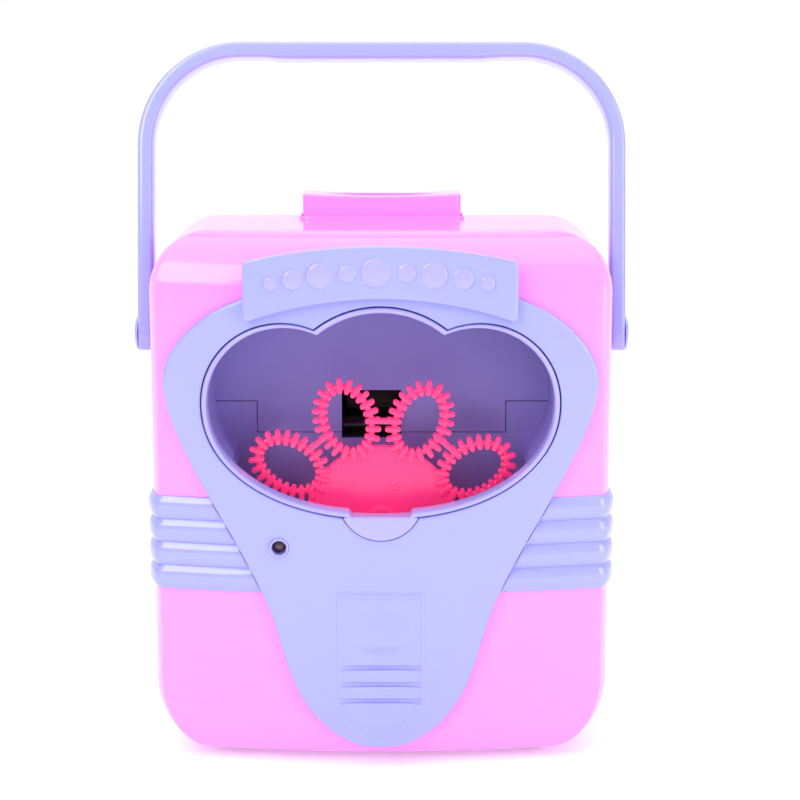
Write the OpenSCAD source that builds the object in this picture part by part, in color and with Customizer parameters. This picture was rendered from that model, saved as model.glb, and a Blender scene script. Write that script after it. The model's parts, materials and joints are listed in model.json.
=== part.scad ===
// Battery-powered bubble machine: a rounded two-part case with a ribbed belt, a swinging bail handle,
// a push key on top and an open chamber in which a wheel of nine wands turns through a dip tank.
// Front is -Y, up is +Z, and the origin is on the floor under the middle of the case.

/* [Case] */
// Width of the case
body_w = 165; // [150:1:210]
// Depth of the case, front to back
body_d = 100; // [96:1:130]
// Height of the case top above the floor
body_h = 192; // [190:1:235]
// Wall thickness of both shells
wall = 2.5; // [1.5:0.1:3.5]
// Corner radius of the case seen from above
plan_r = 20; // [12:1:30]
// Corner radius of the case top seen from the front
top_r = 22; // [10:1:30]
// Corner radius of the case bottom seen from the front
bottom_r = 27; // [10:1:34]
// Radius of the front and back top edges
edge_r = 20; // [8:1:26]
// Radius of the front and back bottom edges
base_edge_r = 12; // [6:1:16]
// Bulge radius of the front face seen from above
bow_r = 350; // [300:10:600]

/* [Belt] */
// Height of the belt's lower edge above the floor
belt_z = 64.5; // [60:0.5:70]
// Number of ribs on the belt
belt_ribs = 4; // [2:1:4]
// Height of one rib
rib_h = 8.5; // [6:0.1:8.6]
// How far the rib crests stand out
belt_out = 2; // [1:0.1:2.2]

/* [Front panel] */
// Thickness of the shield-shaped panel
panel_t = 3; // [2:0.1:4]
// Thickness of the arched banner plate
banner_t = 3; // [2:0.1:4]
// Half the width of the banner
banner_x = 47.9; // [42:0.1:48]

/* [Chamber] */
// Height of the two side lobes' centre
lobe_z = 133; // [130:1:136]
// Radius of the side lobes of the opening
lobe_r = 29.1; // [26:0.1:30]
// Distance from the middle to each side lobe's centre
lobe_x = 34.5; // [33:0.1:36]
// Depth from the case front to the chamber's back wall
chamber_d = 38; // [36:0.5:42]
// Width of the air vent in the back wall
vent_w = 21.9; // [18:0.1:22]
// Height of the air vent
vent_h = 18; // [14:0.1:18]

/* [Bubble wheel] */
// Height of the wheel's axis
wheel_z = 87.6; // [86:0.2:89]
// Number of wands round the wheel
wands = 9; // [5:1:9]
// Distance from the axis to each wand's centre
wand_orbit = 38.6; // [34:0.1:39]
// Half the length of a wand, along the radius
wand_a = 15.9; // [12:0.1:16]
// Half the width of a wand
wand_b = 12; // [9:0.1:12]
// Half the length of a wand's hole
hole_a = 10; // [6:0.1:10]
// Half the width of a wand's hole
hole_b = 6.4; // [4:0.1:7.5]
// Radius of the wheel shaft
shaft_r = 2.5; // [1.8:0.1:3]

/* [Handle] */
// Height of the handle's pivots
pivot_z = 151; // [145:1:156]
// Distance from the pivot to the top of the grip
handle_reach = 107.6; // [100:0.2:130]
// Thickness of the handle strap
strap_t = 6; // [4:0.1:6.5]
// Width of the strap, front to back
strap_w = 13.4; // [10:0.1:16]
// Outer corner radius of the handle
handle_r = 38; // [20:1:45]
// Lean of the handle at rest, towards the back
handle_lean = 10.5; // [0:0.5:20]
// Radius of the pivot pins
pin_r = 4; // [2.5:0.1:5]

/* [Push key] */
// Width of the key
key_w = 59.2; // [40:0.5:60]
// Depth of the key, front to back
key_d = 18; // [18:0.5:22]
// Height of the key's top above the case
key_h = 9.5; // [9:0.1:13]
// Travel of the key
key_travel = 3; // [2:0.1:3.5]

/* [Batteries] */
// Radius of one cell
cell_r = 7.1; // [5:0.1:7.2]
// Length of one cell
cell_l = 50; // [44:0.1:50.5]
// Spacing of the two rows of cells
cell_pitch = 15.6; // [15:0.1:16]

/* [Fits] */
// Gap between pieces that move past each other
gap = 0.4; // [0.3:0.05:0.6]
// Radial clearance of a running fit
run_fit = 0.05; // [0.02:0.01:0.1]
// Gap between fixed pieces that drop into each other
seat_gap = 0.1; // [0.05:0.05:0.2]

/* [Hidden] */
$fn = 96;
// The seam between the shells lies a little behind the origin, which is under the middle of the
// whole object
seam_y = 2.45;
front_y = seam_y - body_d / 2;
rear_y = seam_y + body_d / 2;
side_x = body_w / 2;
foot_h = 2;
back_y = front_y + chamber_d;
plate_t = 2;
wheel_y = front_y + 18;
wheel_t = 2.4;
wheel_r = wand_orbit + wand_a;
tank_in = wall + 1.9;
trough_r = wheel_r + 1.5;
// First wand beside the top, turned a little clockwise seen from the front
first_wand = 90 + 180 / wands - 1.3;
vent_x = -3.75;
vent_z = 122.5;
pink = [1, 0.62, 0.97];
lavender = [0.77, 0.77, 1];
violet = [0.6, 0.54, 0.88];
rose = [1, 0.36, 0.58];
steel = [0.72, 0.73, 0.75];
ivory = [0.93, 0.92, 0.86];
dark = [0.14, 0.14, 0.16];

// Gear train: wheel gear, double idler, motor pinion
mod_a = 1;
mod_b = 0.8;
teeth_out = 40;
teeth_idler_small = 10;
teeth_idler_big = 36;
teeth_pinion = 10;
mesh_gap = 0.15;
idler_x = mod_a * (teeth_out + teeth_idler_small) / 2 + mesh_gap;
idler_z = wheel_z;
pinion_x = idler_x;
pinion_z = idler_z + mod_b * (teeth_idler_big + teeth_pinion) / 2 + mesh_gap;
gb_y = back_y + plate_t;
gb_t = 1.6;
gear_a_y = gb_y + gb_t + 0.6;
gear_a_t = 4;
gear_b_y = gear_a_y + gear_a_t + 0.4;
gear_b_t = 3.4;
gb_cover_y = gear_b_y + gear_b_t + 0.6;
motor_y = gb_cover_y + gb_t;
motor_r = 10;
motor_l = 25;
idler_pin_r = 1.5;
motor_shaft_r = 1;

// Blower
fan_y = back_y + 27.5;
fan_z = 136;
fan_r = 17;
scroll_r = 19.5;
scroll_t = 1.5;
duct_z0 = vent_z - vent_h / 2;
duct_z1 = vent_z + vent_h / 2;
fan_x0 = vent_x - vent_w / 2;
fan_x1 = vent_x + vent_w / 2;

// Push key and switch
key_y = seam_y + 21.5;
key_top = body_h + key_h;
key_foot = body_h - 5;
collar_h = 1.2;
collar_t = 0.9;
stem_r = 3.5;
board_z = 163;
board_t = 1.6;
switch_top = board_z + board_t + 6;
stem_foot = switch_top + key_travel + gap;

// Battery bay
bay_z0 = 14;
row_z = [bay_z0 + 8.2, bay_z0 + 8.2 + cell_pitch];
cell_x = cell_l / 2 + 1.4;
cell_y = rear_y - wall - 8.6;
bay_x = cell_l + 3.4;
bay_z1 = row_z[1] + 8.2;
bay_y = cell_y - 8.2;
bay_t = 1.5;
door_x = bay_x - 1;
door_z0 = bay_z0 + 0.5;
door_z1 = bay_z1 + 11;
hinge_z = door_z0 + 2.2;
hinge_y = rear_y - wall / 2 - 0.5;
hinge_r = 1.1;
screw_z = bay_z1 + 6;

// Lamp, feet and case screws
lamp_x = -36.1;
lamp_z = 81.7;
lamp_r = 2.5;
ferrule_r = 3.55;
foot_x = 52;
foot_front = -22;
foot_back = 30;
foot_r = 6;
post_x = side_x - 14.5;
post_z = [34, 164];
post_r = 4.5;
case_screw_r = 1.5;
// Front details: crown and bowl of the opening, banner arcs, tongue and pour lip
crown_r = 37.1;
crown_z = lobe_z - 1.9;
crown_x = 27;
bowl_h = 41.8;
bowl_n = 2.15;
banner_top = 189.4;
banner_low = 171;
banner_top_arc = 205;
banner_low_arc = 138;
bubble_drop = 9;
bubble_rise = 0.9;
lip_z = 92.6;
lip_x = 13;
lip_h = 7.6;
lip_out = 0.8;
liner_gap = 0.5;
liner_in = 2.3;
tank_top = 127.3;
tank_step_x = 46;
tank_step_z = 115.6;
groove_x = 14.4;
tongue_x = 14.9;
tongue_z = 34;
tongue_h = 19.5;
tongue_top = 64.6;
tongue_rim = 1.4;

arm_in = side_x + 1.9;
arm_out = arm_in + strap_t;

// ---- helpers -------------------------------------------------------------------------------

// A flat outline drawn as seen from the front, filled from y0 back to y1
module facing(y0, y1) {
    translate([0, y1, 0]) rotate([90, 0, 0]) linear_extrude(y1 - y0) children();
}

// A round rod along Y
module rod_y(r, y0, y1, x, z) {
    translate([x, y1, z]) rotate([90, 0, 0]) cylinder(r = r, h = y1 - y0);
}

// A round rod along X
module rod_x(r, x0, x1, y, z) {
    translate([x0, y, z]) rotate([0, 90, 0]) cylinder(r = r, h = x1 - x0);
}

// A box from its two corners
module block(a, b) {
    translate(a) cube([b[0] - a[0], b[1] - a[1], b[2] - a[2]]);
}

// A rectangle from z0 to z1 with its own corner radius below and above
module slab(w, z0, z1, rb, rt) {
    translate([-w / 2, z0 + rb]) square([w, z1 - z0 - rb - rt]);
    translate([rb - w / 2, z0]) square([w - 2 * rb, rb + 1]);
    translate([rt - w / 2, z1 - rt - 1]) square([w - 2 * rt, rt + 1]);
    for (s = [-1, 1]) {
        translate([s * (w / 2 - rb), z0 + rb]) circle(rb);
        translate([s * (w / 2 - rt), z1 - rt]) circle(rt);
    }
}

// Points of an ellipse-like curve |x/a|^n + |y/b|^n = 1
function oval(a, b, n = 2, steps = 48) = [for (i = [0 : steps - 1])
    let (t = 360 * i / steps, c = cos(t), s = sin(t))
    [a * sign(c) * pow(abs(c), 2 / n), b * sign(s) * pow(abs(s), 2 / n)]];

// Points of a smooth curve through the points p (a Catmull-Rom spline)
function knot(p, i) = p[max(0, min(len(p) - 1, i))];
function bend(a, b, c, d, t) = 0.5 * (2 * b + (c - a) * t + (2 * a - 5 * b + 4 * c - d) * t * t
    + (3 * b - a - 3 * c + d) * t * t * t);
function smooth(p, steps = 4) = [for (i = [0 : len(p) - 2]) for (k = [0 : steps - 1])
    bend(knot(p, i - 1), knot(p, i), knot(p, i + 1), knot(p, i + 2), k / steps)];
function flipped(p) = [for (i = [len(p) - 1 : -1 : 0]) [-p[i][0], p[i][1]]];

// ---- case outline --------------------------------------------------------------------------

// Case outline from above, grown by g
module plan(g) {
    intersection() {
        slab(body_w + 2 * g, front_y - g, rear_y + g, plan_r + g, plan_r + g);
        translate([0, front_y + bow_r]) circle(bow_r + g, $fn = 360);
    }
}

// Everything behind the bulged front face grown by g
module behind_bow(g) {
    translate([0, front_y + bow_r, -1]) cylinder(r = bow_r + g, h = body_h + 60, $fn = 360);
}

// The case as one solid, grown by g
module case_solid(g) {
    z0 = foot_h - g;
    z1 = body_h + g;
    intersection() {
        translate([0, 0, z0]) linear_extrude(z1 - z0) plan(g);
        facing(front_y - 5, rear_y + 5) slab(body_w + 2 * g, z0, z1, bottom_r + g, top_r + g);
        translate([-side_x - 5, seam_y, 0]) rotate([90, 0, 90]) linear_extrude(body_w + 10)
            slab(body_d + 2 * g, z0, z1, base_edge_r + g, edge_r + g);
    }
}

// Outline of the cloud-topped opening, grown by g
module cloud(g) {
    for (s = [-1, 1]) {
        translate([s * lobe_x, lobe_z]) circle(lobe_r + g);
    }
    intersection() {
        translate([0, crown_z]) circle(crown_r + g);
        translate([-crown_x, lobe_z - 10]) square([2 * crown_x, 60]);
    }
    translate([0, lobe_z]) intersection() {
        polygon(oval(lobe_x + lobe_r + g, bowl_h + g, bowl_n));
        translate([-80, -80]) square([160, 80]);
    }
}

// Right half of the shield, from the top middle to the bottom tip
shield_half = [[0, 181], [28, 178.5], [46.5, 171], [60, 164.7], [71, 155], [76.4, 145], [76.6, 135],
    [71.5, 119.5], [61, 99], [50, 79.5], [40, 59], [33, 37], [28.2, 26], [19.7, 15.6], [9, 9.2],
    [0, 7.9]];

module shield(g = 0) {
    right = smooth(shield_half);
    k = 1 + g / 76;
    translate([0, 95 * (1 - k)]) scale(k) polygon(concat(right, flipped(right)));
}

// Round outline of the dip tank's trough, grown by g
module trough_outline(g) {
    translate([0, wheel_z]) circle(trough_r + g);
}

// Everything below the stepped top of the dip tank's back wall, grown by g
module below_step(g) {
    difference() {
        translate([-90, 0]) square([180, tank_top + g]);
        translate([g - tank_step_x, tank_step_z + g]) square([2 * (tank_step_x - g), 60]);
    }
}

// The passage through the case for the handle pins
module pin_holes(g) {
    rod_x(pin_r + g, -side_x - 5, side_x + 5, seam_y, pivot_z);
}

module lamp_hole(g) {
    rod_y(ferrule_r + g, front_y - 8, front_y + 9, lamp_x, lamp_z);
}

// ---- case pieces ---------------------------------------------------------------------------

module front_shell() {
    color(pink) {
        difference() {
            case_solid(0);
            case_solid(-wall);
            block([-side_x - 1, seam_y, -1], [side_x + 1, rear_y + 1, body_h + 1]);
            facing(front_y - 9, front_y + 20) cloud(0);
            pin_holes(seat_gap);
            lamp_hole(seat_gap);
            foot_wells();
        }
        for (s = [-1, 1]) for (z = post_z) {
            difference() {
                union() {
                    rod_y(post_r, seam_y - 24, seam_y, s * post_x, z);
                    // Web that ties the post to the side wall
                    translate([s * (side_x - wall - 4.5), seam_y - 12, z]) cube([9.4, 20, 2], center = true);
                }
                rod_y(case_screw_r, seam_y - 16, seam_y + 1, s * post_x, z);
            }
        }
    }
}

module rear_shell() {
    color(pink) {
        difference() {
            case_solid(0);
            case_solid(-wall);
            block([-side_x - 1, front_y - 1, -1], [side_x + 1, seam_y, body_h + 1]);
            pin_holes(seat_gap);
            foot_wells();
            // Key opening
            block([-key_w / 2 - gap, key_y - key_d / 2 - gap, body_h - 10],
                [key_w / 2 + gap, key_y + key_d / 2 + gap, body_h + 1]);
            // Battery door opening
            block([-door_x - gap, rear_y - 12, door_z0 - gap], [door_x + gap, rear_y + 1, door_z1 + gap]);
            // Bores for the ends of the door's hinge rod
            rod_x(hinge_r + run_fit, -door_x - 4.6, door_x + 4.6, hinge_y, hinge_z);
            // Air slots behind the blower
            for (i = [-2 : 2]) {
                block([vent_x - 15, rear_y - 5, fan_z + 7 * i - 1.6],
                    [vent_x + 15, rear_y + 1, fan_z + 7 * i + 1.6]);
            }
            // Screw wells
            for (s = [-1, 1]) for (z = post_z) rod_y(3.4, rear_y - 8, rear_y + 1, s * post_x, z);
        }
        for (s = [-1, 1]) for (z = post_z) {
            difference() {
                rod_y(post_r, seam_y, rear_y - wall / 2, s * post_x, z);
                rod_y(case_screw_r + seat_gap, seam_y - 1, rear_y - 7, s * post_x, z);
                rod_y(3.4, rear_y - 8, rear_y + 1, s * post_x, z);
            }
        }
        // Hangers for the circuit board
        for (s = [-1, 1]) {
            translate([s * 26, seam_y + 36, board_z + board_t])
                cylinder(r = 3, h = body_h - wall - board_z - board_t);
        }
        // Hinge knuckles for the battery door
        for (s = [-1, 1]) {
            difference() {
                block([s * (door_x + 2.4) - 2, hinge_y - 3, hinge_z - 3],
                    [s * (door_x + 2.4) + 2, hinge_y, hinge_z + 3]);
                rod_x(hinge_r + run_fit, -side_x, side_x, hinge_y, hinge_z);
            }
        }
    }
}

module foot_wells() {
    for (x = [-foot_x, foot_x]) for (y = [foot_front, foot_back]) {
        translate([x, seam_y + y, foot_h - 1]) cylinder(r = foot_r + seat_gap, h = 2);
    }
}

module foot(x, y) {
    color(dark) translate([x, seam_y + y, 0]) cylinder(r = foot_r, h = foot_h + 1);
}

// One rib of the belt in three steps, the middle one standing out most
module belt_ring() {
    difference() {
        for (i = [0 : belt_ribs - 1]) {
            for (step = [[0, 0.5], [0.7, 0.8], [1.8, 1]]) {
                translate([0, 0, belt_z + i * rib_h + step[0]])
                    linear_extrude(rib_h - 2 * step[0]) plan(belt_out * step[1]);
            }
        }
        translate([0, 0, belt_z - 1]) linear_extrude(belt_ribs * rib_h + 2) plan(0);
    }
}

// Front half on one side of the panel, s = -1 left or 1 right
module belt_front(s) {
    color(lavender) difference() {
        belt_ring();
        block([-side_x - 5, seam_y, 0], [side_x + 5, rear_y + 5, body_h]);
        facing(front_y - 9, front_y + 15) shield(0.4);
        block([s < 0 ? 0 : -side_x - 5, front_y - 9, 0], [s < 0 ? side_x + 5 : 0, rear_y, body_h]);
    }
}

module belt_rear() {
    color(lavender) difference() {
        belt_ring();
        block([-side_x - 5, front_y - 5, 0], [side_x + 5, seam_y, body_h]);
    }
}

// Tongue relief: a round-bottomed rim round a dimple and three grooves
module tongue(g) {
    translate([-tongue_x - g, tongue_z]) square([2 * (tongue_x + g), tongue_top - tongue_z + g]);
    translate([0, tongue_z]) polygon(oval(tongue_x + g, tongue_h + g, 2.3));
}

module front_panel() {
    color(lavender) difference() {
        union() {
            intersection() {
                facing(front_y - 9, front_y + 20) shield();
                difference() {
                    behind_bow(panel_t);
                    behind_bow(0);
                }
                case_cap();
            }
            // Raised edge of the tongue
            intersection() {
                facing(front_y - 9, front_y + 6) difference() {
                    tongue(0);
                    tongue(-tongue_rim);
                }
                difference() {
                    behind_bow(panel_t + 0.9);
                    behind_bow(1);
                }
            }
        }
        facing(front_y - 9, front_y + 20) cloud(0);
        lamp_hole(seat_gap);
        // Three grooves across the tongue
        for (z = [25.5, 31.6, 37.8]) {
            block([-groove_x, front_y - 9, z - 0.9], [groove_x, front_y - panel_t + 1.2, z + 0.9]);
        }
        // Oval dimple
        translate([0, 0, 50.8]) facing(front_y - 9, front_y - panel_t + 0.8) polygon(oval(10.4, 8.3));
    }
}

// Keeps the panel below the rounded top edge of the case
module case_cap() {
    block([-side_x, front_y - 10, 0], [side_x, front_y + 30, body_h - edge_r + 3]);
}

// Arched banner outline, shrunk by g
module banner_outline(g) {
    intersection() {
        translate([-banner_x + g, 150]) square([2 * (banner_x - g), 60]);
        translate([0, banner_top - banner_top_arc]) circle(banner_top_arc - g, $fn = 360);
        difference() {
            translate([-60, 150]) square([120, 60]);
            translate([0, banner_low - banner_low_arc]) circle(banner_low_arc + g, $fn = 360);
        }
    }
}

module name_banner() {
    color(lavender) difference() {
        union() {
            intersection() {
                facing(front_y - 12, front_y + 10) banner_outline(0);
                difference() {
                    behind_bow(panel_t + banner_t);
                    behind_bow(panel_t);
                }
            }
            // Root that carries the plate on the rounded edge of the case
            intersection() {
                facing(front_y - panel_t - 1, front_y + 14) banner_outline(5);
                block([-40, front_y - 10, body_h - edge_r + 3.2], [40, front_y + 14, body_h]);
                behind_bow(panel_t + 1);
            }
        }
        case_solid(0.02);
    }
}

// Generic mark: a row of raised bubbles of mixed sizes
bubble_row = [[-38, 2.6], [-30.5, 3.6], [-21, 4.6], [-11.5, 3.2], [-1.5, 5.2], [9, 3.4], [18.5, 4.8],
    [28.5, 3.8], [37, 2.8]];

module banner_bubbles() {
    color([0.86, 0.88, 1]) difference() {
        for (b = bubble_row) {
            z = banner_top - bubble_drop - b[0] * b[0] / (banner_top_arc + banner_low_arc);
            y = front_y - panel_t - banner_t + bow_r - sqrt(bow_r * bow_r - b[0] * b[0]);
            rod_y(b[1], y - bubble_rise, y + 2, b[0], z);
        }
        // The small lift keeps the bubbles' backs off the banner's curved face
        behind_bow(panel_t + banner_t + 0.03);
    }
}

// ---- chamber -------------------------------------------------------------------------------

module chamber_liner() {
    color(violet) {
        difference() {
            union() {
                // Wall of the recess with its rim
                intersection() {
                    facing(front_y - 9, back_y) difference() {
                        cloud(-liner_gap);
                        cloud(-liner_in);
                    }
                    behind_bow(panel_t + lip_out);
                }
                // Flange behind the front shell
                intersection() {
                    facing(front_y - 9, front_y + 20) difference() {
                        cloud(2.5);
                        cloud(-liner_in);
                    }
                    difference() {
                        behind_bow(-wall - 0.1);
                        behind_bow(-wall - 1.7);
                    }
                }
                // Pour lip at the middle of the lower rim
                intersection() {
                    facing(front_y - 9, front_y) translate([0, lip_z]) intersection() {
                        polygon(oval(lip_x, lip_h, 2.2));
                        translate([-lip_x - 1, -10]) square([2 * lip_x + 2, 10.6]);
                    }
                    difference() {
                        behind_bow(panel_t + lip_out);
                        behind_bow(panel_t + 0.05);
                    }
                }
                facing(back_y, back_y + plate_t) cloud(-liner_gap);
            }
            // Room for the dip tank and for the wheel
            intersection() {
                facing(front_y, back_y) trough_outline(plate_t + seat_gap);
                behind_bow(seat_gap - tank_in);
            }
            facing(back_y, back_y + plate_t + 1) below_step(seat_gap);
            block([fan_x0, back_y - 5, duct_z0], [fan_x1, back_y + 5, duct_z1]);
        }
    }
}

module solution_tank() {
    color(violet) difference() {
        union() {
            // Trough, its front following the bulged case just behind the liner's flange
            intersection() {
                facing(front_y, back_y) trough_outline(plate_t);
                behind_bow(-tank_in);
            }
            // Back wall, flush with the wall above it; it also carries the gearbox
            facing(back_y, back_y + plate_t) intersection() {
                union() {
                    trough_outline(plate_t);
                    cloud(-liner_gap - seat_gap);
                }
                below_step(0);
            }
        }
        intersection() {
            facing(front_y, back_y) trough_outline(0);
            behind_bow(-tank_in - plate_t);
        }
        // Open towards the chamber
        facing(front_y, back_y) cloud(seat_gap - liner_gap);
        block([fan_x0, back_y - 5, duct_z0], [fan_x1, back_y + 5, duct_z1]);
        rod_y(5, back_y - 5, back_y + 5, 0, wheel_z);
    }
}

module shaft_seal() {
    color(dark) difference() {
        rod_y(5, back_y - 5, gb_y, 0, wheel_z);
        rod_y(shaft_r + run_fit, back_y - 6, gb_y + 1, 0, wheel_z);
    }
}

// ---- bubble wheel --------------------------------------------------------------------------

module wheel_outline() {
    difference() {
        union() {
            circle(26);
            for (i = [0 : wands - 1]) {
                rotate(first_wand + 360 * i / wands) translate([wand_orbit, 0]) polygon(oval(wand_a, wand_b));
            }
        }
        for (i = [0 : wands - 1]) {
            rotate(first_wand + 360 * i / wands) translate([wand_orbit, 0]) polygon(oval(hole_a, hole_b));
        }
    }
}

module bubble_wheel() {
    color(rose) difference() {
        union() {
            translate([0, 0, wheel_z]) facing(wheel_y - wheel_t / 2, wheel_y + wheel_t / 2) wheel_outline();
            rod_y(6, wheel_y, wheel_y + 9, 0, wheel_z);
            rod_y(4.7, wheel_y - 3, wheel_y, 0, wheel_z);
        }
        rod_y(shaft_r, wheel_y - 5, wheel_y + 12, 0, wheel_z);
    }
}

module wheel_shaft() {
    color(steel) rod_y(shaft_r, wheel_y - 2.4, gb_cover_y + gb_t - 0.2, 0, wheel_z);
}

module wheel_cap() {
    color(rose) difference() {
        rod_y(4.7, wheel_y - 4.6, wheel_y - 3, 0, wheel_z);
        rod_y(3.3, wheel_y - 5, wheel_y - 3.8, 0, wheel_z);
    }
}

// ---- gear train ----------------------------------------------------------------------------

// Straight-sided gear outline with one tooth pointing along +X
module gear_outline(teeth, m) {
    root = m * teeth / 2 - 1.15 * m;
    tip = m * teeth / 2 + 0.85 * m;
    circle(root);
    for (i = [0 : teeth - 1]) {
        rotate(360 * i / teeth) polygon([[root - 0.4, -0.8 * m], [tip, -0.36 * m], [tip, 0.36 * m],
            [root - 0.4, 0.8 * m]]);
    }
}

module gear(teeth, m, y0, y1, x, z, turn) {
    translate([x, 0, z]) facing(y0, y1) rotate(turn) gear_outline(teeth, m);
}

module gearbox_outline(g) {
    translate([0, wheel_z]) circle(teeth_out * mod_a / 2 + 2.4 + g);
    translate([idler_x, idler_z]) circle(teeth_idler_big * mod_b / 2 + 2 + g);
    translate([pinion_x, pinion_z]) circle(teeth_pinion * mod_b / 2 + 3.4 + g);
}

module wheel_gear() {
    color(ivory) difference() {
        gear(teeth_out, mod_a, gear_a_y, gear_a_y + gear_a_t, 0, wheel_z, 0);
        rod_y(shaft_r, gear_a_y - 1, gear_a_y + gear_a_t + 1, 0, wheel_z);
    }
}

module idler_gear() {
    half_tooth = 180 / teeth_idler_small;
    color(ivory) difference() {
        union() {
            gear(teeth_idler_small, mod_a, gear_a_y, gear_b_y, idler_x, idler_z, half_tooth);
            gear(teeth_idler_big, mod_b, gear_b_y, gear_b_y + gear_b_t, idler_x, idler_z, 0);
        }
        rod_y(idler_pin_r + run_fit, gear_a_y - 1, gear_b_y + gear_b_t + 1, idler_x, idler_z);
    }
}

module idler_pin() {
    color(steel) rod_y(idler_pin_r, gb_y + 0.4, gb_cover_y + 1.2, idler_x, idler_z);
}

module motor_pinion() {
    color([0.85, 0.7, 0.35]) {
        gear(teeth_pinion, mod_b, gear_b_y, gear_b_y + gear_b_t, pinion_x, pinion_z, 0);
        rod_y(motor_shaft_r, gear_b_y + 1, motor_y + 8, pinion_x, pinion_z);
    }
}

module gearbox_base() {
    color(ivory) difference() {
        facing(gb_y, gb_cover_y) gearbox_outline(gb_t);
        facing(gb_y + gb_t, gb_cover_y + 1) gearbox_outline(0);
        rod_y(shaft_r + run_fit, gb_y - 1, gb_y + 4, 0, wheel_z);
        rod_y(idler_pin_r, gb_y + 0.4, gb_y + 4, idler_x, idler_z);
    }
}

module gearbox_cover() {
    color(ivory) difference() {
        facing(gb_cover_y, motor_y) gearbox_outline(gb_t);
        rod_y(shaft_r + run_fit, gb_cover_y - 1, motor_y + 1, 0, wheel_z);
        rod_y(idler_pin_r, gb_cover_y - 1, gb_cover_y + 1.2, idler_x, idler_z);
        rod_y(3, gb_cover_y - 1, motor_y + 1, pinion_x, pinion_z);
    }
}

module gear_motor() {
    color(steel) difference() {
        union() {
            rod_y(motor_r, motor_y, motor_y + motor_l, pinion_x, pinion_z);
            rod_y(2.9, motor_y - 0.8, motor_y, pinion_x, pinion_z);
            rod_y(4, motor_y + motor_l, motor_y + motor_l + 1.6, pinion_x, pinion_z);
        }
        rod_y(motor_shaft_r + run_fit, motor_y - 2, motor_y + 8.4, pinion_x, pinion_z);
    }
}

// ---- blower --------------------------------------------------------------------------------

module fan_housing() {
    color(dark) difference() {
        union() {
            rod_x(scroll_r + scroll_t, fan_x0 - scroll_t, fan_x1 + scroll_t, fan_y, fan_z);
            block([fan_x0 - scroll_t, back_y + plate_t, duct_z0 - scroll_t],
                [fan_x1 + scroll_t, fan_y, duct_z1 + scroll_t]);
        }
        rod_x(scroll_r, fan_x0, fan_x1, fan_y, fan_z);
        block([fan_x0, back_y, duct_z0], [fan_x1, fan_y, duct_z1]);
        rod_x(10, fan_x0 - 5, fan_x0 + 1, fan_y, fan_z);
        rod_x(3, fan_x1 - 1, fan_x1 + 5, fan_y, fan_z);
    }
}

module fan_impeller() {
    color([0.2, 0.2, 0.24]) difference() {
        union() {
            rod_x(fan_r, fan_x1 - 3.2, fan_x1 - 1.6, fan_y, fan_z);
            rod_x(4, fan_x0 + 6, fan_x1 - 1.6, fan_y, fan_z);
            translate([fan_x0 + 1.6, fan_y, fan_z]) rotate([0, 90, 0]) linear_extrude(vent_w - 4)
                for (i = [0 : 15]) {
                    rotate(22.5 * i) translate([13.6, 0]) rotate(28) translate([-2.6, -0.5]) square([5.2, 1]);
                }
        }
        rod_x(motor_shaft_r, fan_x0 + 5, fan_x1, fan_y, fan_z);
    }
    color(steel) rod_x(motor_shaft_r, fan_x0 + 7, fan_x1 + scroll_t + 8, fan_y, fan_z);
}

module fan_motor() {
    color(steel) difference() {
        union() {
            rod_x(motor_r, fan_x1 + scroll_t, fan_x1 + scroll_t + motor_l, fan_y, fan_z);
            rod_x(2.9, fan_x1 + 0.6, fan_x1 + scroll_t, fan_y, fan_z);
            rod_x(4, fan_x1 + scroll_t + motor_l, fan_x1 + scroll_t + motor_l + 1.6, fan_y, fan_z);
        }
        rod_x(motor_shaft_r + run_fit, fan_x1, fan_x1 + scroll_t + 8.4, fan_y, fan_z);
    }
}

// ---- push key ------------------------------------------------------------------------------

module key_collar() {
    hx = key_w / 2 + gap;
    hy = key_d / 2 + gap;
    color(pink) difference() {
        translate([0, key_y, body_h - 1]) linear_extrude(collar_h + 1) difference() {
            slab(2 * (hx + collar_t), -hy - collar_t, hy + collar_t, 4, 4);
            slab(2 * hx, -hy, hy, 2.6, 2.6);
        }
        case_solid(0);
    }
}

module power_key() {
    dish_r = 420;
    color(pink) {
        difference() {
            translate([0, key_y, key_foot]) linear_extrude(key_top - key_foot)
                slab(key_w, -key_d / 2, key_d / 2, 2.4, 2.4);
            translate([0, key_y, key_foot - 1]) linear_extrude(key_top - key_foot - 2)
                slab(key_w - 4, 2 - key_d / 2, key_d / 2 - 2, 1.2, 1.2);
            translate([0, key_y + 30, key_top + dish_r - 1]) rotate([90, 0, 0])
                cylinder(r = dish_r, h = 60, $fn = 360);
        }
        translate([0, key_y, stem_foot]) cylinder(r = stem_r, h = key_top - 2.6 - stem_foot);
    }
}

module key_spring() {
    coil_r = stem_r + 1.6;
    free_l = key_top - 3.4 - switch_top;
    color(steel) translate([0, key_y, switch_top + 0.2]) difference() {
        cylinder(r = coil_r + 0.5, h = free_l);
        translate([0, 0, -1]) cylinder(r = coil_r - 0.5, h = free_l + 2);
    }
}

module push_switch() {
    color(dark) {
        block([-7, key_y - 7, board_z + board_t], [7, key_y + 7, switch_top]);
        translate([0, key_y, switch_top - 0.5]) cylinder(r = 2.5, h = 0.7);
    }
}

module circuit_board() {
    color([0.1, 0.45, 0.25]) difference() {
        block([-31, seam_y + 4, board_z], [31, seam_y + 42, board_z + board_t]);
        for (s = [-1, 1]) translate([s * 26, seam_y + 8, board_z - 1]) cylinder(r = 1.5, h = 4);
    }
    color(dark) {
        block([-24, seam_y + 24, board_z + board_t], [-12, seam_y + 34, board_z + board_t + 2]);
        translate([17, seam_y + 32, board_z + board_t]) cylinder(r = 4, h = 9);
    }
}

// ---- lamp ----------------------------------------------------------------------------------

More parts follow.
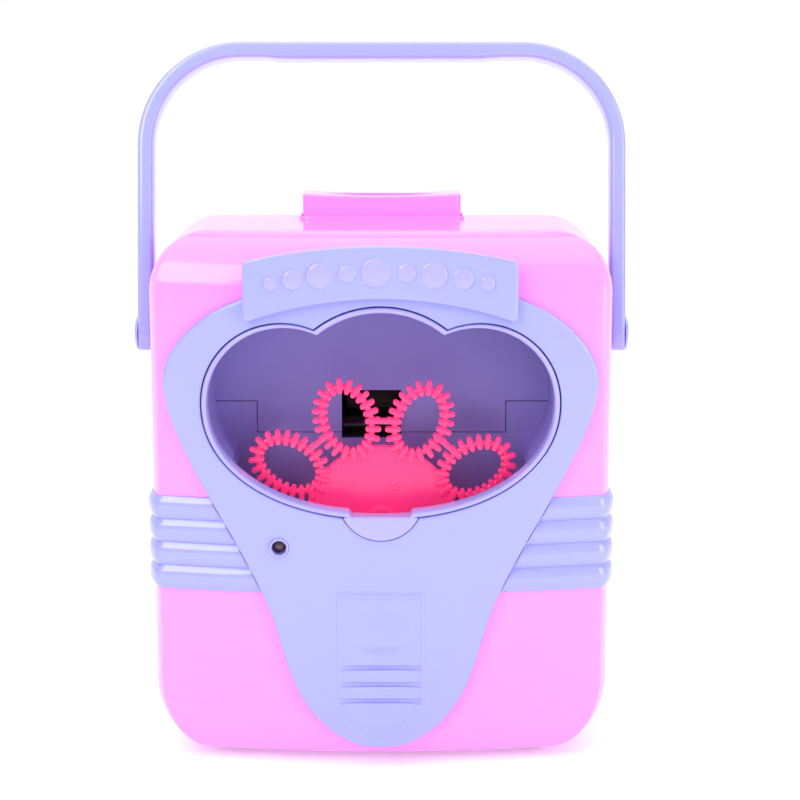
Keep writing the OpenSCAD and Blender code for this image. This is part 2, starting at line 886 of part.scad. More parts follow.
module lamp_ferrule() {
    sag = bow_r - sqrt(bow_r * bow_r - lamp_x * lamp_x);
    y = front_y - panel_t + sag;
    color(lavender) difference() {
        rod_y(ferrule_r, y - 0.9, front_y + 5.2, lamp_x, lamp_z);
        rod_y(lamp_r, y - 2, front_y + 7, lamp_x, lamp_z);
    }
}

module indicator_lamp() {
    color([0.45, 0.05, 0.12]) rod_y(lamp_r, front_y + 0.6, front_y + 5.5, lamp_x, lamp_z);
}

// ---- batteries -----------------------------------------------------------------------------

module battery_box() {
    color(ivory) {
        difference() {
            block([-bay_x - bay_t, bay_y - bay_t, bay_z0 - bay_t],
                [bay_x + bay_t, rear_y - wall, bay_z1 + bay_t]);
            block([-bay_x, bay_y, bay_z0], [bay_x, rear_y, bay_z1]);
            // Room for the hinge knuckles and for the door's lower edge
            block([-bay_x - 5, hinge_y - 6, hinge_z - 4], [bay_x + 5, rear_y, hinge_z + 4]);
            block([-door_x - gap, rear_y - wall - gap, 0], [door_x + gap, rear_y, door_z1]);
        }
        difference() {
            block([-5, rear_y - 14, bay_z1 + bay_t], [5, rear_y - wall - gap, door_z1 - 1]);
            rod_y(case_screw_r, rear_y - 12, rear_y, 0, screw_z);
        }
    }
}

// Spring plates at both ends of the two rows and a bridge in the middle
module battery_contacts() {
    color(steel) for (z = row_z) {
        for (s = [-1, 1]) {
            block([s * (bay_x - 0.3) - 0.3, cell_y - 6, z - 6], [s * (bay_x - 0.3) + 0.3, cell_y + 6, z + 6]);
        }
        block([-0.3, cell_y - 6, z - 6], [0.3, cell_y + 6, z + 6]);
    }
}

module cell(s, row) {
    z = row_z[row];
    color([0.32, 0.34, 0.38]) {
        rod_x(cell_r, s * cell_x - cell_l / 2, s * cell_x + cell_l / 2 - 1, cell_y, z);
        rod_x(2.6, s * cell_x + cell_l / 2 - 1, s * cell_x + cell_l / 2, cell_y, z);
    }
}

module battery_door() {
    color(pink) difference() {
        union() {
            block([-door_x, rear_y - wall, door_z0 + 0.8], [door_x, rear_y, door_z1]);
            rod_x(hinge_r, -door_x - 4, door_x + 4, hinge_y, hinge_z);
            // Grip ribs
            for (i = [0 : 3]) {
                block([-8, rear_y - 0.1, door_z1 - 20 - 3 * i], [8, rear_y + 0.7, door_z1 - 18.6 - 3 * i]);
            }
        }
        rod_y(case_screw_r + 0.2, rear_y - 4, rear_y + 1, 0, screw_z);
        rod_y(3, rear_y - 1.4, rear_y + 1, 0, screw_z);
    }
}

module door_screw() {
    color(steel) {
        rod_y(case_screw_r + 0.2, rear_y - wall, rear_y - 1.3, 0, screw_z);
        rod_y(2.9, rear_y - 1.3, rear_y - 0.1, 0, screw_z);
    }
}

// ---- handle --------------------------------------------------------------------------------

module handle() {
    color(lavender) translate([0, seam_y, pivot_z]) rotate([-handle_lean, 0, 0]) difference() {
        union() {
            facing(-strap_w / 2, strap_w / 2) difference() {
                slab(2 * arm_out, -1, handle_reach, 1, handle_r);
                slab(2 * arm_in, -9, handle_reach - strap_t - 1, 1, handle_r - strap_t);
                translate([-arm_out - 1, -10]) square([2 * arm_out + 2, 10]);
            }
            for (s = [-1, 1]) {
                rod_x(strap_w / 2, s * (arm_in + strap_t / 2) - strap_t / 2,
                    s * (arm_in + strap_t / 2) + strap_t / 2, 0, 0);
            }
        }
        rod_x(pin_r + run_fit, -arm_out - 1, arm_out + 1, 0, 0);
    }
}

module pivot_pin(s) {
    color(steel) {
        rod_x(pin_r, s < 0 ? -arm_out + 0.3 : side_x - 8, s < 0 ? 8 - side_x : arm_out - 0.3,
            seam_y, pivot_z);
        rod_x(7, s < 0 ? gap - arm_in : side_x, s < 0 ? -side_x : arm_in - gap, seam_y, pivot_z);
        rod_x(7, s < 0 ? wall - side_x : side_x - wall - 2, s < 0 ? wall + 2 - side_x : side_x - wall,
            seam_y, pivot_z);
    }
}

// Domed cap on the outside of each arm
module pivot_cap(s) {
    dome_r = 15;
    cap_r = strap_w / 2 - 0.2;
    rise = 1.6;
    color(lavender) translate([s * arm_out, seam_y, pivot_z]) rotate([0, s * 90, 0]) intersection() {
        cylinder(r = cap_r, h = rise + 1);
        translate([0, 0, rise - dome_r]) sphere(dome_r);
    }
}

// ---- screws --------------------------------------------------------------------------------

module case_screw(s, row) {
    z = post_z[row];
    color(steel) {
        rod_y(case_screw_r, seam_y - 14, rear_y - 7.9, s * post_x, z);
        rod_y(3, rear_y - 8, rear_y - 5.6, s * post_x, z);
    }
}

front_shell();
rear_shell();
belt_front(-1);  // belt_front_left
belt_front(1);  // belt_front_right
belt_rear();
front_panel();
name_banner();
banner_bubbles();
chamber_liner();
solution_tank();
shaft_seal();
bubble_wheel();
wheel_shaft();
wheel_cap();
wheel_gear();
gearbox_base();
gearbox_cover();
idler_pin();
idler_gear();
motor_pinion();
gear_motor();
fan_housing();
fan_impeller();
fan_motor();
key_collar();
power_key();
key_spring();
push_switch();
circuit_board();
lamp_ferrule();
indicator_lamp();
battery_box();
battery_contacts();
cell(-1, 0);  // cell_1
cell(1, 0);  // cell_2
cell(-1, 1);  // cell_3
cell(1, 1);  // cell_4
battery_door();
door_screw();
handle();
pivot_pin(-1);  // pivot_pin_left
pivot_pin(1);  // pivot_pin_right
pivot_cap(-1);  // pivot_cap_left
pivot_cap(1);  // pivot_cap_right
case_screw(-1, 0);  // case_screw_1
case_screw(1, 0);  // case_screw_2
case_screw(-1, 1);  // case_screw_3
case_screw(1, 1);  // case_screw_4
foot(-foot_x, foot_front);  // foot_1
foot(foot_x, foot_front);  // foot_2
foot(-foot_x, foot_back);  // foot_3
foot(foot_x, foot_back);  // foot_4
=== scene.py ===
"""Toy bubble machine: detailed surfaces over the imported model, worked out as arrays."""

import json

import bpy
import numpy as np
from bpy.props import FloatProperty, FloatVectorProperty, IntProperty, PointerProperty
from mathutils import Matrix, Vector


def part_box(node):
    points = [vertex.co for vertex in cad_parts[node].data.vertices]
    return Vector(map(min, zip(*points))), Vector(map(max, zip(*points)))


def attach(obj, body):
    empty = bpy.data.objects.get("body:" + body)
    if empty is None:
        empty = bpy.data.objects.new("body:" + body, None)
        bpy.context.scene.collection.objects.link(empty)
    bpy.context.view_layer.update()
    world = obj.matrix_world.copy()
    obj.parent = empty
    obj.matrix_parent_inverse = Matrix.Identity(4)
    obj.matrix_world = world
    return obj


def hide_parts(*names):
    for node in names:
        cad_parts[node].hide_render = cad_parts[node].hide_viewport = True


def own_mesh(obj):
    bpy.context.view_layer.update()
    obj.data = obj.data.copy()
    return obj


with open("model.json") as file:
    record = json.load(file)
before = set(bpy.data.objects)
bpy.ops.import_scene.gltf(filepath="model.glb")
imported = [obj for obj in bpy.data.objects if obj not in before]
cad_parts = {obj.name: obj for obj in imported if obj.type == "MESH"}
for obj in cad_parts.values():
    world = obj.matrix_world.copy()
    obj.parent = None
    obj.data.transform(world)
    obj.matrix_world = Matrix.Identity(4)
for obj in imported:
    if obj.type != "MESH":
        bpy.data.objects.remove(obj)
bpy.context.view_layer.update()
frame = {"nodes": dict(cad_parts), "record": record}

bl_info = {
    "name": "Toy bubble machine",
    "version": (1, 0, 0),
    "blender": (4, 5, 0),
    "location": "View3D > Sidebar > Bubbles",
    "description": "Builds the case, panel, wheel, handle and finishes of a toy bubble machine",
    "category": "Object",
}

MM = 0.001
TAU = 2 * np.pi
REACH = 0.2  # farther out than any part of the machine
SEAM_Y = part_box("rear_shell")[0].y
FRONT_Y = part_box("front_shell")[0].y
REAR_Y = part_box("rear_shell")[1].y
HALF_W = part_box("front_shell")[1].x
BASE_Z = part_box("front_shell")[0].z
TOP_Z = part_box("front_shell")[1].z
WHEEL_Z = 0.5 * (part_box("wheel_gear")[0].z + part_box("wheel_gear")[1].z)
WHEEL_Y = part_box("wheel_cap")[1].y + 3 * MM
PIVOT_Z = 0.5 * (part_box("pivot_cap_left")[0].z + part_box("pivot_cap_left")[1].z)
BACK_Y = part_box("gearbox_base")[0].y - 2 * MM
TROUGH_R = WHEEL_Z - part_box("solution_tank")[0].z
LIP = (13.2 * MM, 92.9 * MM, 8.1 * MM)
LOBE = (34.5 * MM, 133 * MM)


# ---- sizes and colours a user may change ---------------------------------------------------

def length(name, text, mm):
    """A length property with its name, description and default in millimetres."""
    return FloatProperty(name=name, description=text, default=mm * MM, unit="LENGTH")


def colour(name, text, value):
    """A colour property with its name, description and default."""
    return FloatVectorProperty(name=name, description=text, subtype="COLOR", size=3, min=0, max=1,
                               default=value)


class CaseSizes(bpy.types.PropertyGroup):
    """Roundings and thicknesses of the case, panel and belt."""

    plan_r: length("Plan corner", "Corner radius seen from above", 20)
    bow_r: length("Front bulge", "Radius of the bulged front face", 350)
    wall: length("Wall", "Wall thickness of the shells", 2.5)
    top_r: length("Top edge", "Rounding of the top edges", 21)
    base_side_r: length("Bottom side edge", "Rounding below the two sides", 27)
    base_face_r: length("Bottom face edge", "Rounding below front and back", 12)
    seam: length("Seam", "Half the width of the parting line", 0.12)
    panel_t: length("Panel", "Thickness of the front panel", 3)
    banner_t: length("Banner", "Thickness of the banner plate", 3)


class WheelSizes(bpy.types.PropertyGroup):
    """Sizes of the wand wheel."""

    wands: IntProperty(name="Wands", description="Number of wands", default=9, min=3, max=16)
    fins: IntProperty(name="Fins", description="Number of fins round one wand", default=22,
                      min=8, max=40)
    orbit: length("Orbit", "Axis to wand centre", 38.6)
    fin_l: length("Fin length", "Length of one fin", 5.8)
    fin_w: length("Fin width", "Width of one fin", 1.9)


class Finishes(bpy.types.PropertyGroup):
    """Base colours of the mouldings, as linear light."""

    pink: colour("Pink", "Shells and key", (0.97, 0.30, 0.93))
    lavender: colour("Lavender", "Panel, belt and handle", (0.365, 0.375, 0.86))
    pale: colour("Pale violet", "Rim, pour lip and raised bubbles", (0.41, 0.385, 0.88))
    violet: colour("Violet", "Chamber and tank", (0.27, 0.215, 0.62))
    rose: colour("Rose", "Wand wheel", (1.0, 0.035, 0.21))


# ---- outlines ------------------------------------------------------------------------------

def quarter(steps):
    """Angles from 0 to a quarter turn, with both ends."""
    return np.linspace(0, np.pi / 2, steps)


def full_turn(steps, start=0.0):
    """Even angles of a full turn; the last stops one step short of the first."""
    return np.linspace(start, start + TAU, steps, endpoint=False)


def middle(low, high):
    """The point halfway between two corners."""
    return 0.5 * (np.array(low) + np.array(high))


def bow(x):
    """Depth of the bulged front: y = front + R - sqrt(R^2 - x^2)."""
    r = bpy.context.scene.case_sizes.bow_r
    return FRONT_Y + r - np.sqrt(r ** 2 - np.asarray(x) ** 2)


def level(loop, z):
    """A loop in x and y set at a height, or at a height for each point."""
    return np.c_[loop, np.full(len(loop), z)]


def standing(loop, y):
    """A loop in x and z set at a depth, or at a depth for each point."""
    return np.c_[loop[:, 0], np.full(len(loop), y), loop[:, 1]]


def rounded_loop(hx, y0, y1, r, per_side=24, per_corner=14):
    """A rectangle with quarter-circle corners: straight runs joined by c + r (cos a, sin a)."""
    r = min(r, hx, 0.5 * (y1 - y0))
    a = np.linspace(0, np.pi / 2, per_corner, endpoint=False)
    t = np.linspace(0, 1, per_side, endpoint=False)
    cx, c0, c1 = hx - r, y0 + r, y1 - r
    parts = []
    corners = ((0, (cx, c1), ((cx, y1), (-cx, y1))), (1, (-cx, c1), ((-hx, c1), (-hx, c0))),
               (2, (-cx, c0), ((-cx, y0), (cx, y0))), (3, (cx, c0), ((hx, c0), (hx, c1))))
    for turn, centre, run in corners:
        b = a + turn * np.pi / 2
        parts.append(np.c_[centre[0] + r * np.cos(b), centre[1] + r * np.sin(b)])
        start, end = np.array(run[0]), np.array(run[1])
        parts.append(start + (end - start) * t[:, None])
    return np.concatenate(parts)


def case_loop(ix, iy):
    """Case outline from above, moved in by ix and iy, its front never ahead of the bulge."""
    s = bpy.context.scene.case_sizes
    r = max(s.plan_r - 0.5 * (ix + iy), 1.5 * MM)
    loop = rounded_loop(HALF_W - ix, FRONT_Y + iy, REAR_Y - iy, r)
    loop[:, 1] = np.maximum(loop[:, 1], bow(loop[:, 0]) + iy)
    return loop


def spline(points, steps=24):
    """Catmull-Rom curve: each stretch is a cubic through its two points with central slopes."""
    p = np.array(points, float)
    p = np.vstack([2 * p[0] - p[1], p, 2 * p[-1] - p[-2]])
    t = np.linspace(0, 1, steps, endpoint=False)[None, :, None]
    a, b, c, d = (p[i:len(p) - 3 + i, None, :] for i in range(4))
    curve = 0.5 * (2 * b + (c - a) * t + (2 * a - 5 * b + 4 * c - d) * t ** 2
                   + (3 * b - a - 3 * c + d) * t ** 3)
    return np.vstack([curve.reshape(-1, 2), p[-2]])


SHIELD_HALF = [(0, 181), (28, 178.5), (46.5, 171), (60, 164.7), (71, 155), (76.4, 145), (76.6, 135),
               (71.5, 119.5), (61, 99), (50, 79.5), (40, 59), (33, 37), (28.2, 26), (19.7, 15.6),
               (9, 9.2), (0, 7.9)]
PANEL_CENTRE = np.array([0.0, 125 * MM])


def polar(r, angle):
    """Points in x and z at a distance from the panel's centre, at an angle from straight down."""
    return PANEL_CENTRE + np.c_[r * np.sin(angle), -r * np.cos(angle)]


def shield_radius(angle):
    """Distance from the panel's centre to the shield's edge at an angle from straight down."""
    half = spline(SHIELD_HALF) * MM - PANEL_CENTRE
    a = np.arctan2(half[:, 0], -half[:, 1])
    return np.interp(np.abs(angle), a[::-1], np.hypot(half[:, 0], half[:, 1])[::-1])


def cloud_radius(angle):
    """Distance from the panel's centre to the cloud-shaped opening: the farthest of two side
    circles, a crown circle above and an ellipse-like bowl |x/a|^n + |z/b|^n = 1 below."""
    x, z = np.sin(angle), -np.cos(angle)

    def circle(cx, cz, r):
        px, pz = PANEL_CENTRE[0] - cx, PANEL_CENTRE[1] - cz
        dot = px * x + pz * z
        under = dot ** 2 - (px ** 2 + pz ** 2 - r ** 2)
        return np.where(under > 0, -dot + np.sqrt(np.maximum(under, 0)), 0)

    lobe_r, bowl_a, bowl_b, power = 29.1 * MM, 63.6 * MM, 40.8 * MM, 2 / 2.15
    side = np.maximum(circle(LOBE[0], LOBE[1], lobe_r), circle(-LOBE[0], LOBE[1], lobe_r))
    crown = circle(0, 131.1 * MM, 37.1 * MM)
    crown = np.where((z > 0.5) & (np.abs(x) * crown < 27 * MM), crown, 0)
    t = np.linspace(np.pi, TAU, 720)
    c, s = np.cos(t), np.sin(t)
    bx = bowl_a * np.sign(c) * np.abs(c) ** power
    bz = LOBE[1] - bowl_b * np.abs(s) ** power - PANEL_CENTRE[1]
    ba = np.arctan2(bx, -bz)
    order = np.argsort(ba)
    bowl = np.interp(angle, ba[order], np.hypot(bx, bz)[order], left=0, right=0)
    return np.maximum(np.maximum(side, crown), bowl)


def lip_outline(grow=0.0):
    """Pour lip: an arc of half-chord a and height h, so of radius (a^2 + h^2) / (2 h), closed by a
    flat top just above its ends."""
    half, foot, high = LIP
    r = (half ** 2 + high ** 2) / (2 * high)
    end = np.arcsin(half / r)
    a = np.linspace(-end, end, 72)
    arc = np.c_[(r + grow) * np.sin(a), foot + r - high - (r + grow) * np.cos(a)]
    x = np.linspace(arc[-1, 0], arc[0, 0], 26)[1:-1]
    return np.vstack([arc, np.c_[x, np.full(24, foot + 0.5 * MM + grow)]])


def rim_inset(angle, inset):
    """How far in the rim stands: its full inset, but a fraction of it above the pour lip."""
    x = np.abs(cloud_radius(angle) * np.sin(angle))
    dip = step(12.4 * MM - x, 0, 2.2 * MM) * (np.abs(angle) < 0.8)
    outer = 0.45 * MM
    return np.where(inset > outer, outer + (inset - outer) * (1 - 0.8 * dip), inset)


def step(x, low, high):
    """Smooth step from 0 at low to 1 at high."""
    t = np.clip((x - low) / (high - low), 0, 1)
    return t * t * (3 - 2 * t)


# ---- meshes --------------------------------------------------------------------------------

def mesh_of(name, verts, faces):
    mesh = bpy.data.meshes.new(name)
    mesh.from_pydata(verts.tolist(), [], faces)
    return mesh


def add_piece(name, solid, body, slot, crease=0.6):
    """One piece from a solid's points and faces."""
    mesh = mesh_of(name, *solid)
    mesh.validate()
    return finish_piece(name, mesh, body, slot, crease)


def finish_piece(name, mesh, body, slot, crease=0.6):
    """Object, body and finish for a mesh, smooth but for edges sharper than the crease angle."""
    mesh.shade_smooth()
    mesh.set_sharp_from_angle(angle=crease)
    mesh.materials.clear()
    mesh.materials.append(FINISH[slot])
    piece = bpy.data.objects.new(name, mesh)
    bpy.context.scene.collection.objects.link(piece)
    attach(piece, body)
    return piece


def grid_faces(rows, cols, wrap_rows=False, wrap_cols=True, start=0):
    """Quads of a grid of rows by columns, closed across either way."""
    i = np.arange(rows if wrap_rows else rows - 1)
    j = np.arange(cols if wrap_cols else cols - 1)
    i, j = np.meshgrid(i, j, indexing="ij")
    i2, j2 = (i + 1) % rows, (j + 1) % cols
    quads = np.stack([i * cols + j, i * cols + j2, i2 * cols + j2, i2 * cols + j], -1) + start
    return quads.reshape(-1, 4).tolist()


def outward(verts, faces):
    """Faces turned so that the volume they enclose about their middle is positive."""
    verts = verts - verts.mean(0)
    total = 0.0
    for k in (3, 4):
        f = np.array([q for q in faces if len(q) == k])
        if len(f):
            p = verts[f]
            total += np.einsum("ij,ij->i", p[:, 0], np.cross(p[:, 1], p[:, 2])).sum()
            if k == 4:
                total += np.einsum("ij,ij->i", p[:, 0], np.cross(p[:, 2], p[:, 3])).sum()
    return faces if total > 0 else [list(q)[::-1] for q in faces]


def loft(rows, wrap_rows=False):
    """Closed solid from equal loops of points; open ends are closed with a flat face."""
    rows = np.asarray(rows)
    n, m = rows.shape[:2]
    faces = outward(rows.reshape(-1, 3), grid_faces(n, m, wrap_rows))
    if not wrap_rows:
        first, last = list(range(m)), list(range((n - 1) * m, n * m))
        turned = faces[0].index(1) == (faces[0].index(0) + 1) % 4
        faces.append(first[::-1] if turned else first)
        faces.append(last if turned else last[::-1])
    return rows.reshape(-1, 3), faces


def joined(parts):
    """Several vertex and face lists as one."""
    verts, faces, start = [], [], 0
    for v, f in parts:
        verts.append(v)
        faces += [[i + start for i in q] for q in f]
        start += len(v)
    return np.concatenate(verts), faces


def cut(mesh, tool, operation="DIFFERENCE"):
    """Boolean of two closed meshes, worked out at once; both inputs are used up."""
    target = bpy.data.objects.new("cut_target", mesh)
    cutter = bpy.data.objects.new("cut_tool", tool)
    for o in (target, cutter):
        bpy.context.scene.collection.objects.link(o)
    mod = target.modifiers.new("cut", "BOOLEAN")
    mod.object, mod.operation, mod.solver = cutter, operation, "EXACT"
    bpy.context.view_layer.update()
    graph = bpy.context.evaluated_depsgraph_get()
    result = bpy.data.meshes.new_from_object(target.evaluated_get(graph))
    for o in (target, cutter):
        bpy.data.objects.remove(o)
    return result


def box_mesh(low, high):
    """A box between two corners."""
    loop = np.array([(low[0], low[1]), (high[0], low[1]), (high[0], high[1]), (low[0], high[1])])
    return mesh_of("box", *loft([level(loop, z) for z in (low[2], high[2])]))


def prism_mesh(outline, y0, y1):
    """An outline in x and z, carried straight from y0 to y1."""
    return mesh_of("prism", *loft([standing(outline, y) for y in (y0, y1)]))


def pierce(mesh, outline, y):
    """A straight hole in the shape of an outline, through the wall at a depth y."""
    return cut(mesh, prism_mesh(outline, y - 0.01, y + 0.01))


def spun(profile, centre, axis="Y", steps=48):
    """A profile of (radius, height) turned about an axis through centre."""
    a = full_turn(steps)
    r, h = np.array(profile, float).T[:, :, None]
    u, v, w = r * np.cos(a), r * np.sin(a), h + 0 * a
    order = {"X": (w, u, v), "Y": (u, w, v), "Z": (u, v, w)}[axis]
    return loft(np.stack(order, -1) + np.array(centre))


def bored(mesh, r, start, end, centre, axis="Y", steps=48):
    """A round hole of radius r, from one distance along an axis through centre to another."""
    return cut(mesh, mesh_of("bore", *spun([(r, start), (r, end)], centre, axis, steps)))


def dome(r, rise, steps):
    """Profile of a dome from its edge to its crown: r cos a, rise sin a."""
    return [(r * np.cos(k) + 1e-6, rise * np.sin(k)) for k in quarter(steps)]


def plate(outline, rings, centre, rows_in=14):
    """A plate on the bulged front: its outline in x and z is moved towards the centre by each ring's
    inset and lifted by its depth, then shrunk to the centre in even steps."""
    d = outline - centre
    dist = np.hypot(d[:, 0], d[:, 1])[:, None]
    rows = []
    for inset, depth in rings:
        p = centre + d * (1 - inset / dist)
        rows.append(standing(p, bow(p[:, 0]) - depth))
    edge = centre + d * (1 - rings[-1][0] / dist)
    for k in np.linspace(1, 0.02, rows_in)[1:]:
        p = centre + (edge - centre) * k
        rows.append(standing(p, bow(p[:, 0]) - rings[-1][1]))
    return loft(rows)


def rim_rings(depth, r, back=0.0, steps=5):
    """Quarter-round edge: inset r (1 - cos a), depth rising to full height by r sin a."""
    arc = [(r * (1 - np.cos(t)), depth - r + r * np.sin(t)) for t in quarter(steps)]
    return [(0.0, back)] + arc


# ---- materials -----------------------------------------------------------------------------

class Socket:
    """A node's output with operators: arithmetic on it adds Math nodes."""

    def __init__(self, mat, out):
        self.mat, self.out = mat, out

    def math(self, operation, *values):
        return self.mat.node("ShaderNodeMath", {"operation": operation}, dict(enumerate(values)))

    def __add__(self, other):
        return self.math("ADD", self, other)

    def __mul__(self, other):
        return self.math("MULTIPLY", self, other)

    def __sub__(self, other):
        return self.math("SUBTRACT", self, other)

    def __rsub__(self, other):
        return self.math("SUBTRACT", other, self)

    def __pow__(self, other):
        return self.math("POWER", self, other)

    def __rpow__(self, other):
        return self.math("POWER", other, self)

    __radd__, __rmul__ = __add__, __mul__


class Finish:
    """A material with its Principled shader and short ways to add nodes."""

    def __init__(self, name, base, rough, **fixed):
        self.material = bpy.data.materials.new(name)
        self.material.use_nodes = True
        self.tree = self.material.node_tree
        self.shader = self.tree.nodes["Principled BSDF"]
        self.shader.inputs["Base Color"].default_value = (*base, 1)
        self.shader.inputs["Roughness"].default_value = rough
        for key, value in fixed.items():
            self.shader.inputs[key.replace("_", " ")].default_value = value
        self.base = base

    def node(self, kind, settings=None, inputs=None, out=0):
        n = self.tree.nodes.new(kind)
        for key, value in (settings or {}).items():
            setattr(n, key, value)
        for key, value in (inputs or {}).items():
            if isinstance(value, Socket):
                self.tree.links.new(value.out, n.inputs[key])
            else:
                n.inputs[key].default_value = value
        return Socket(self, n.outputs[out])

    def place(self):
        return self.node("ShaderNodeTexCoord", out="Object")

    def noise(self, scale, detail=3.0, rough=0.5):
        return self.node("ShaderNodeTexNoise", None, {"Vector": self.place(), "Scale": scale,
                                                      "Detail": detail, "Roughness": rough})

    def feed(self, socket_name, value):
        self.tree.links.new(value.out, self.shader.inputs[socket_name])

    def tint(self, factor, other):
        """Base colour mixed towards another colour by a factor."""
        self.feed("Base Color", self.node("ShaderNodeMix", {"data_type": "RGBA"},
                                          {0: factor, 6: (*self.base, 1), 7: (*other, 1)}, out=2))

    def bump(self, height, strength, distance):
        self.feed("Normal", self.node("ShaderNodeBump", None, {"Height": height, "Strength": strength,
                                                               "Distance": distance}))


def shade(c, k):
    return tuple(min(1.0, v * k) for v in c)


def gloss_plastic(name, base, rough=0.17, coat=0.35, glow=0.0, painted_glow=0.0, skin=0.1):
    """Injection-moulded plastic: faint flow clouds, uneven sheen, a soft orange-peel skin and
    a few fine scuffs. painted_glow sets an emission in the base colour: a painted glow that
    stands in for light."""
    f = Finish(name, base, rough, Coat_Weight=coat, Coat_Roughness=0.06, IOR=1.5,
               Subsurface_Weight=glow, Subsurface_Radius=(0.004, 0.002, 0.004), Subsurface_Scale=0.6,
               Emission_Color=(*base, 1), Emission_Strength=painted_glow)
    cloud = f.noise(14.0, 3.0, 0.55)
    f.tint(cloud * 0.55 - 0.12, shade(base, 0.86))
    scuff = f.noise(420.0, 4.0, 0.7)
    f.feed("Roughness", rough + (cloud - 0.5) * 0.10 + (scuff - 0.5) * 0.07)
    peel = f.noise(900.0, 2.0, 0.4)
    f.bump(peel * 0.5 + f.noise(60.0, 2.0, 0.5) * 1.2, skin, 0.0004)
    return f.material


def satin_plastic(name, base, rough=0.42):
    """Spark-textured moulded plastic: fine pits and slight colour drift."""
    f = Finish(name, base, rough, IOR=1.48)
    drift = f.noise(22.0, 4.0, 0.6)
    f.tint(drift * 0.6 - 0.1, shade(base, 0.8))
    pits = f.noise(1500.0, 2.0, 0.5)
    f.feed("Roughness", rough + (pits - 0.5) * 0.16)
    f.bump(pits, 0.25, 0.0002)
    return f.material


def metal(name, base, rough=0.3):
    """Drawn or turned metal: fine grain along Y and a slight tarnish."""
    f = Finish(name, base, rough, Metallic=1.0)
    stretch = f.node("ShaderNodeMapping", None, {"Vector": f.place(), "Scale": (1.0, 0.05, 1.0)})
    grain = f.node("ShaderNodeTexNoise", None, {"Vector": stretch, "Scale": 2200.0, "Detail": 2.0})
    f.tint(f.noise(90.0) * 0.5, shade(base, 0.72))
    f.feed("Roughness", rough + (grain - 0.5) * 0.22)
    f.bump(grain, 0.2, 0.0001)
    return f.material


def rubber(name, base):
    """Matt rubber: dusty bloom and a leathery skin."""
    f = Finish(name, base, 0.75, Specular_IOR_Level=0.3)
    f.tint(f.noise(120.0, 4.0, 0.7) * 0.5, shade(base, 2.6))
    f.bump(f.noise(1800.0, 3.0, 0.6), 0.5, 0.0002)
    return f.material


def board(name, base):
    """Circuit board: solder mask with rows of copper tracks showing through."""
    f = Finish(name, base, 0.3, Coat_Weight=0.4)
    wave = f.node("ShaderNodeTexWave", {"bands_direction": "X"}, {"Vector": f.place(), "Scale": 160.0,
                                                                  "Distortion": 3.0}, out="Fac")
    f.tint((wave ** 6.0) * 0.8, (0.25, 0.5, 0.2))
    f.bump(wave, 0.3, 0.0001)
    return f.material


def cell_jacket(name, base):
    """Printed battery sleeve: dark body with a bright band at one end, along X."""
    f = Finish(name, base, 0.25, Metallic=0.6, Coat_Weight=0.5)
    x = f.node("ShaderNodeSeparateXYZ", None, {"Vector": f.place()}, out="X")
    band = f.node("ShaderNodeMath", {"operation": "GREATER_THAN"},
                  {0: f.node("ShaderNodeMath", {"operation": "PINGPONG"}, {0: x, 1: 0.0265}), 1: 0.019})
    f.tint(band, (0.9, 0.55, 0.15))
    f.bump(f.noise(700.0), 0.05, 0.0001)
    return f.material


def lens(name, base):
    """Tinted lamp lens: deep colour under a clear coat, with a faint moulded swirl."""
    f = Finish(name, base, 0.08, Coat_Weight=1.0, Coat_Roughness=0.02)
    f.tint(f.noise(300.0), shade(base, 0.5))
    f.bump(f.noise(500.0), 0.08, 0.0002)
    return f.material


FINISH = {}


def build_finishes():
    c = bpy.context.scene.finishes
    FINISH.update({
        "shell_pink": gloss_plastic("moulded_pink", tuple(c.pink), 0.16, 0.4, 0.12),
        "trim_lavender": gloss_plastic("moulded_lavender", tuple(c.lavender), 0.14, 0.5, 0.08),
        "pale_violet": gloss_plastic("moulded_pale_violet", tuple(c.pale), 0.2, 0.3, 0.08),
        "chamber_violet": satin_plastic("chamber_violet_satin", tuple(c.violet), 0.38),
        # The wheel's emission strength of 0.2 is a painted glow that brightens it where the chamber is
        # in shade
        "wheel_rose": gloss_plastic("wheel_rose_plastic", tuple(c.rose), 0.28, 0.2, 0.0, 0.2, 0.03),
        "plated_steel": metal("plated_steel", (0.62, 0.63, 0.65), 0.3),
        "ivory_plastic": satin_plastic("ivory_gear_plastic", (0.8, 0.76, 0.62), 0.4),
        "brass_gear": metal("brass_pinion", (0.78, 0.56, 0.22), 0.28),
        # dark_plastic is near-black; on the blower's housing behind the vent it is painted shade that
        # makes the vent look dark
        "dark_plastic": satin_plastic("dark_plastic", (0.02, 0.02, 0.025), 0.45),
        "rubber_black": rubber("rubber_feet", (0.02, 0.02, 0.02)),
        "board_green": board("circuit_board_mask", (0.02, 0.16, 0.06)),
        "lamp_red": lens("lamp_lens", (0.09, 0.006, 0.03)),
        "cell_jacket": cell_jacket("battery_sleeve", (0.03, 0.035, 0.05)),
    })


# ---- operators -----------------------------------------------------------------------------

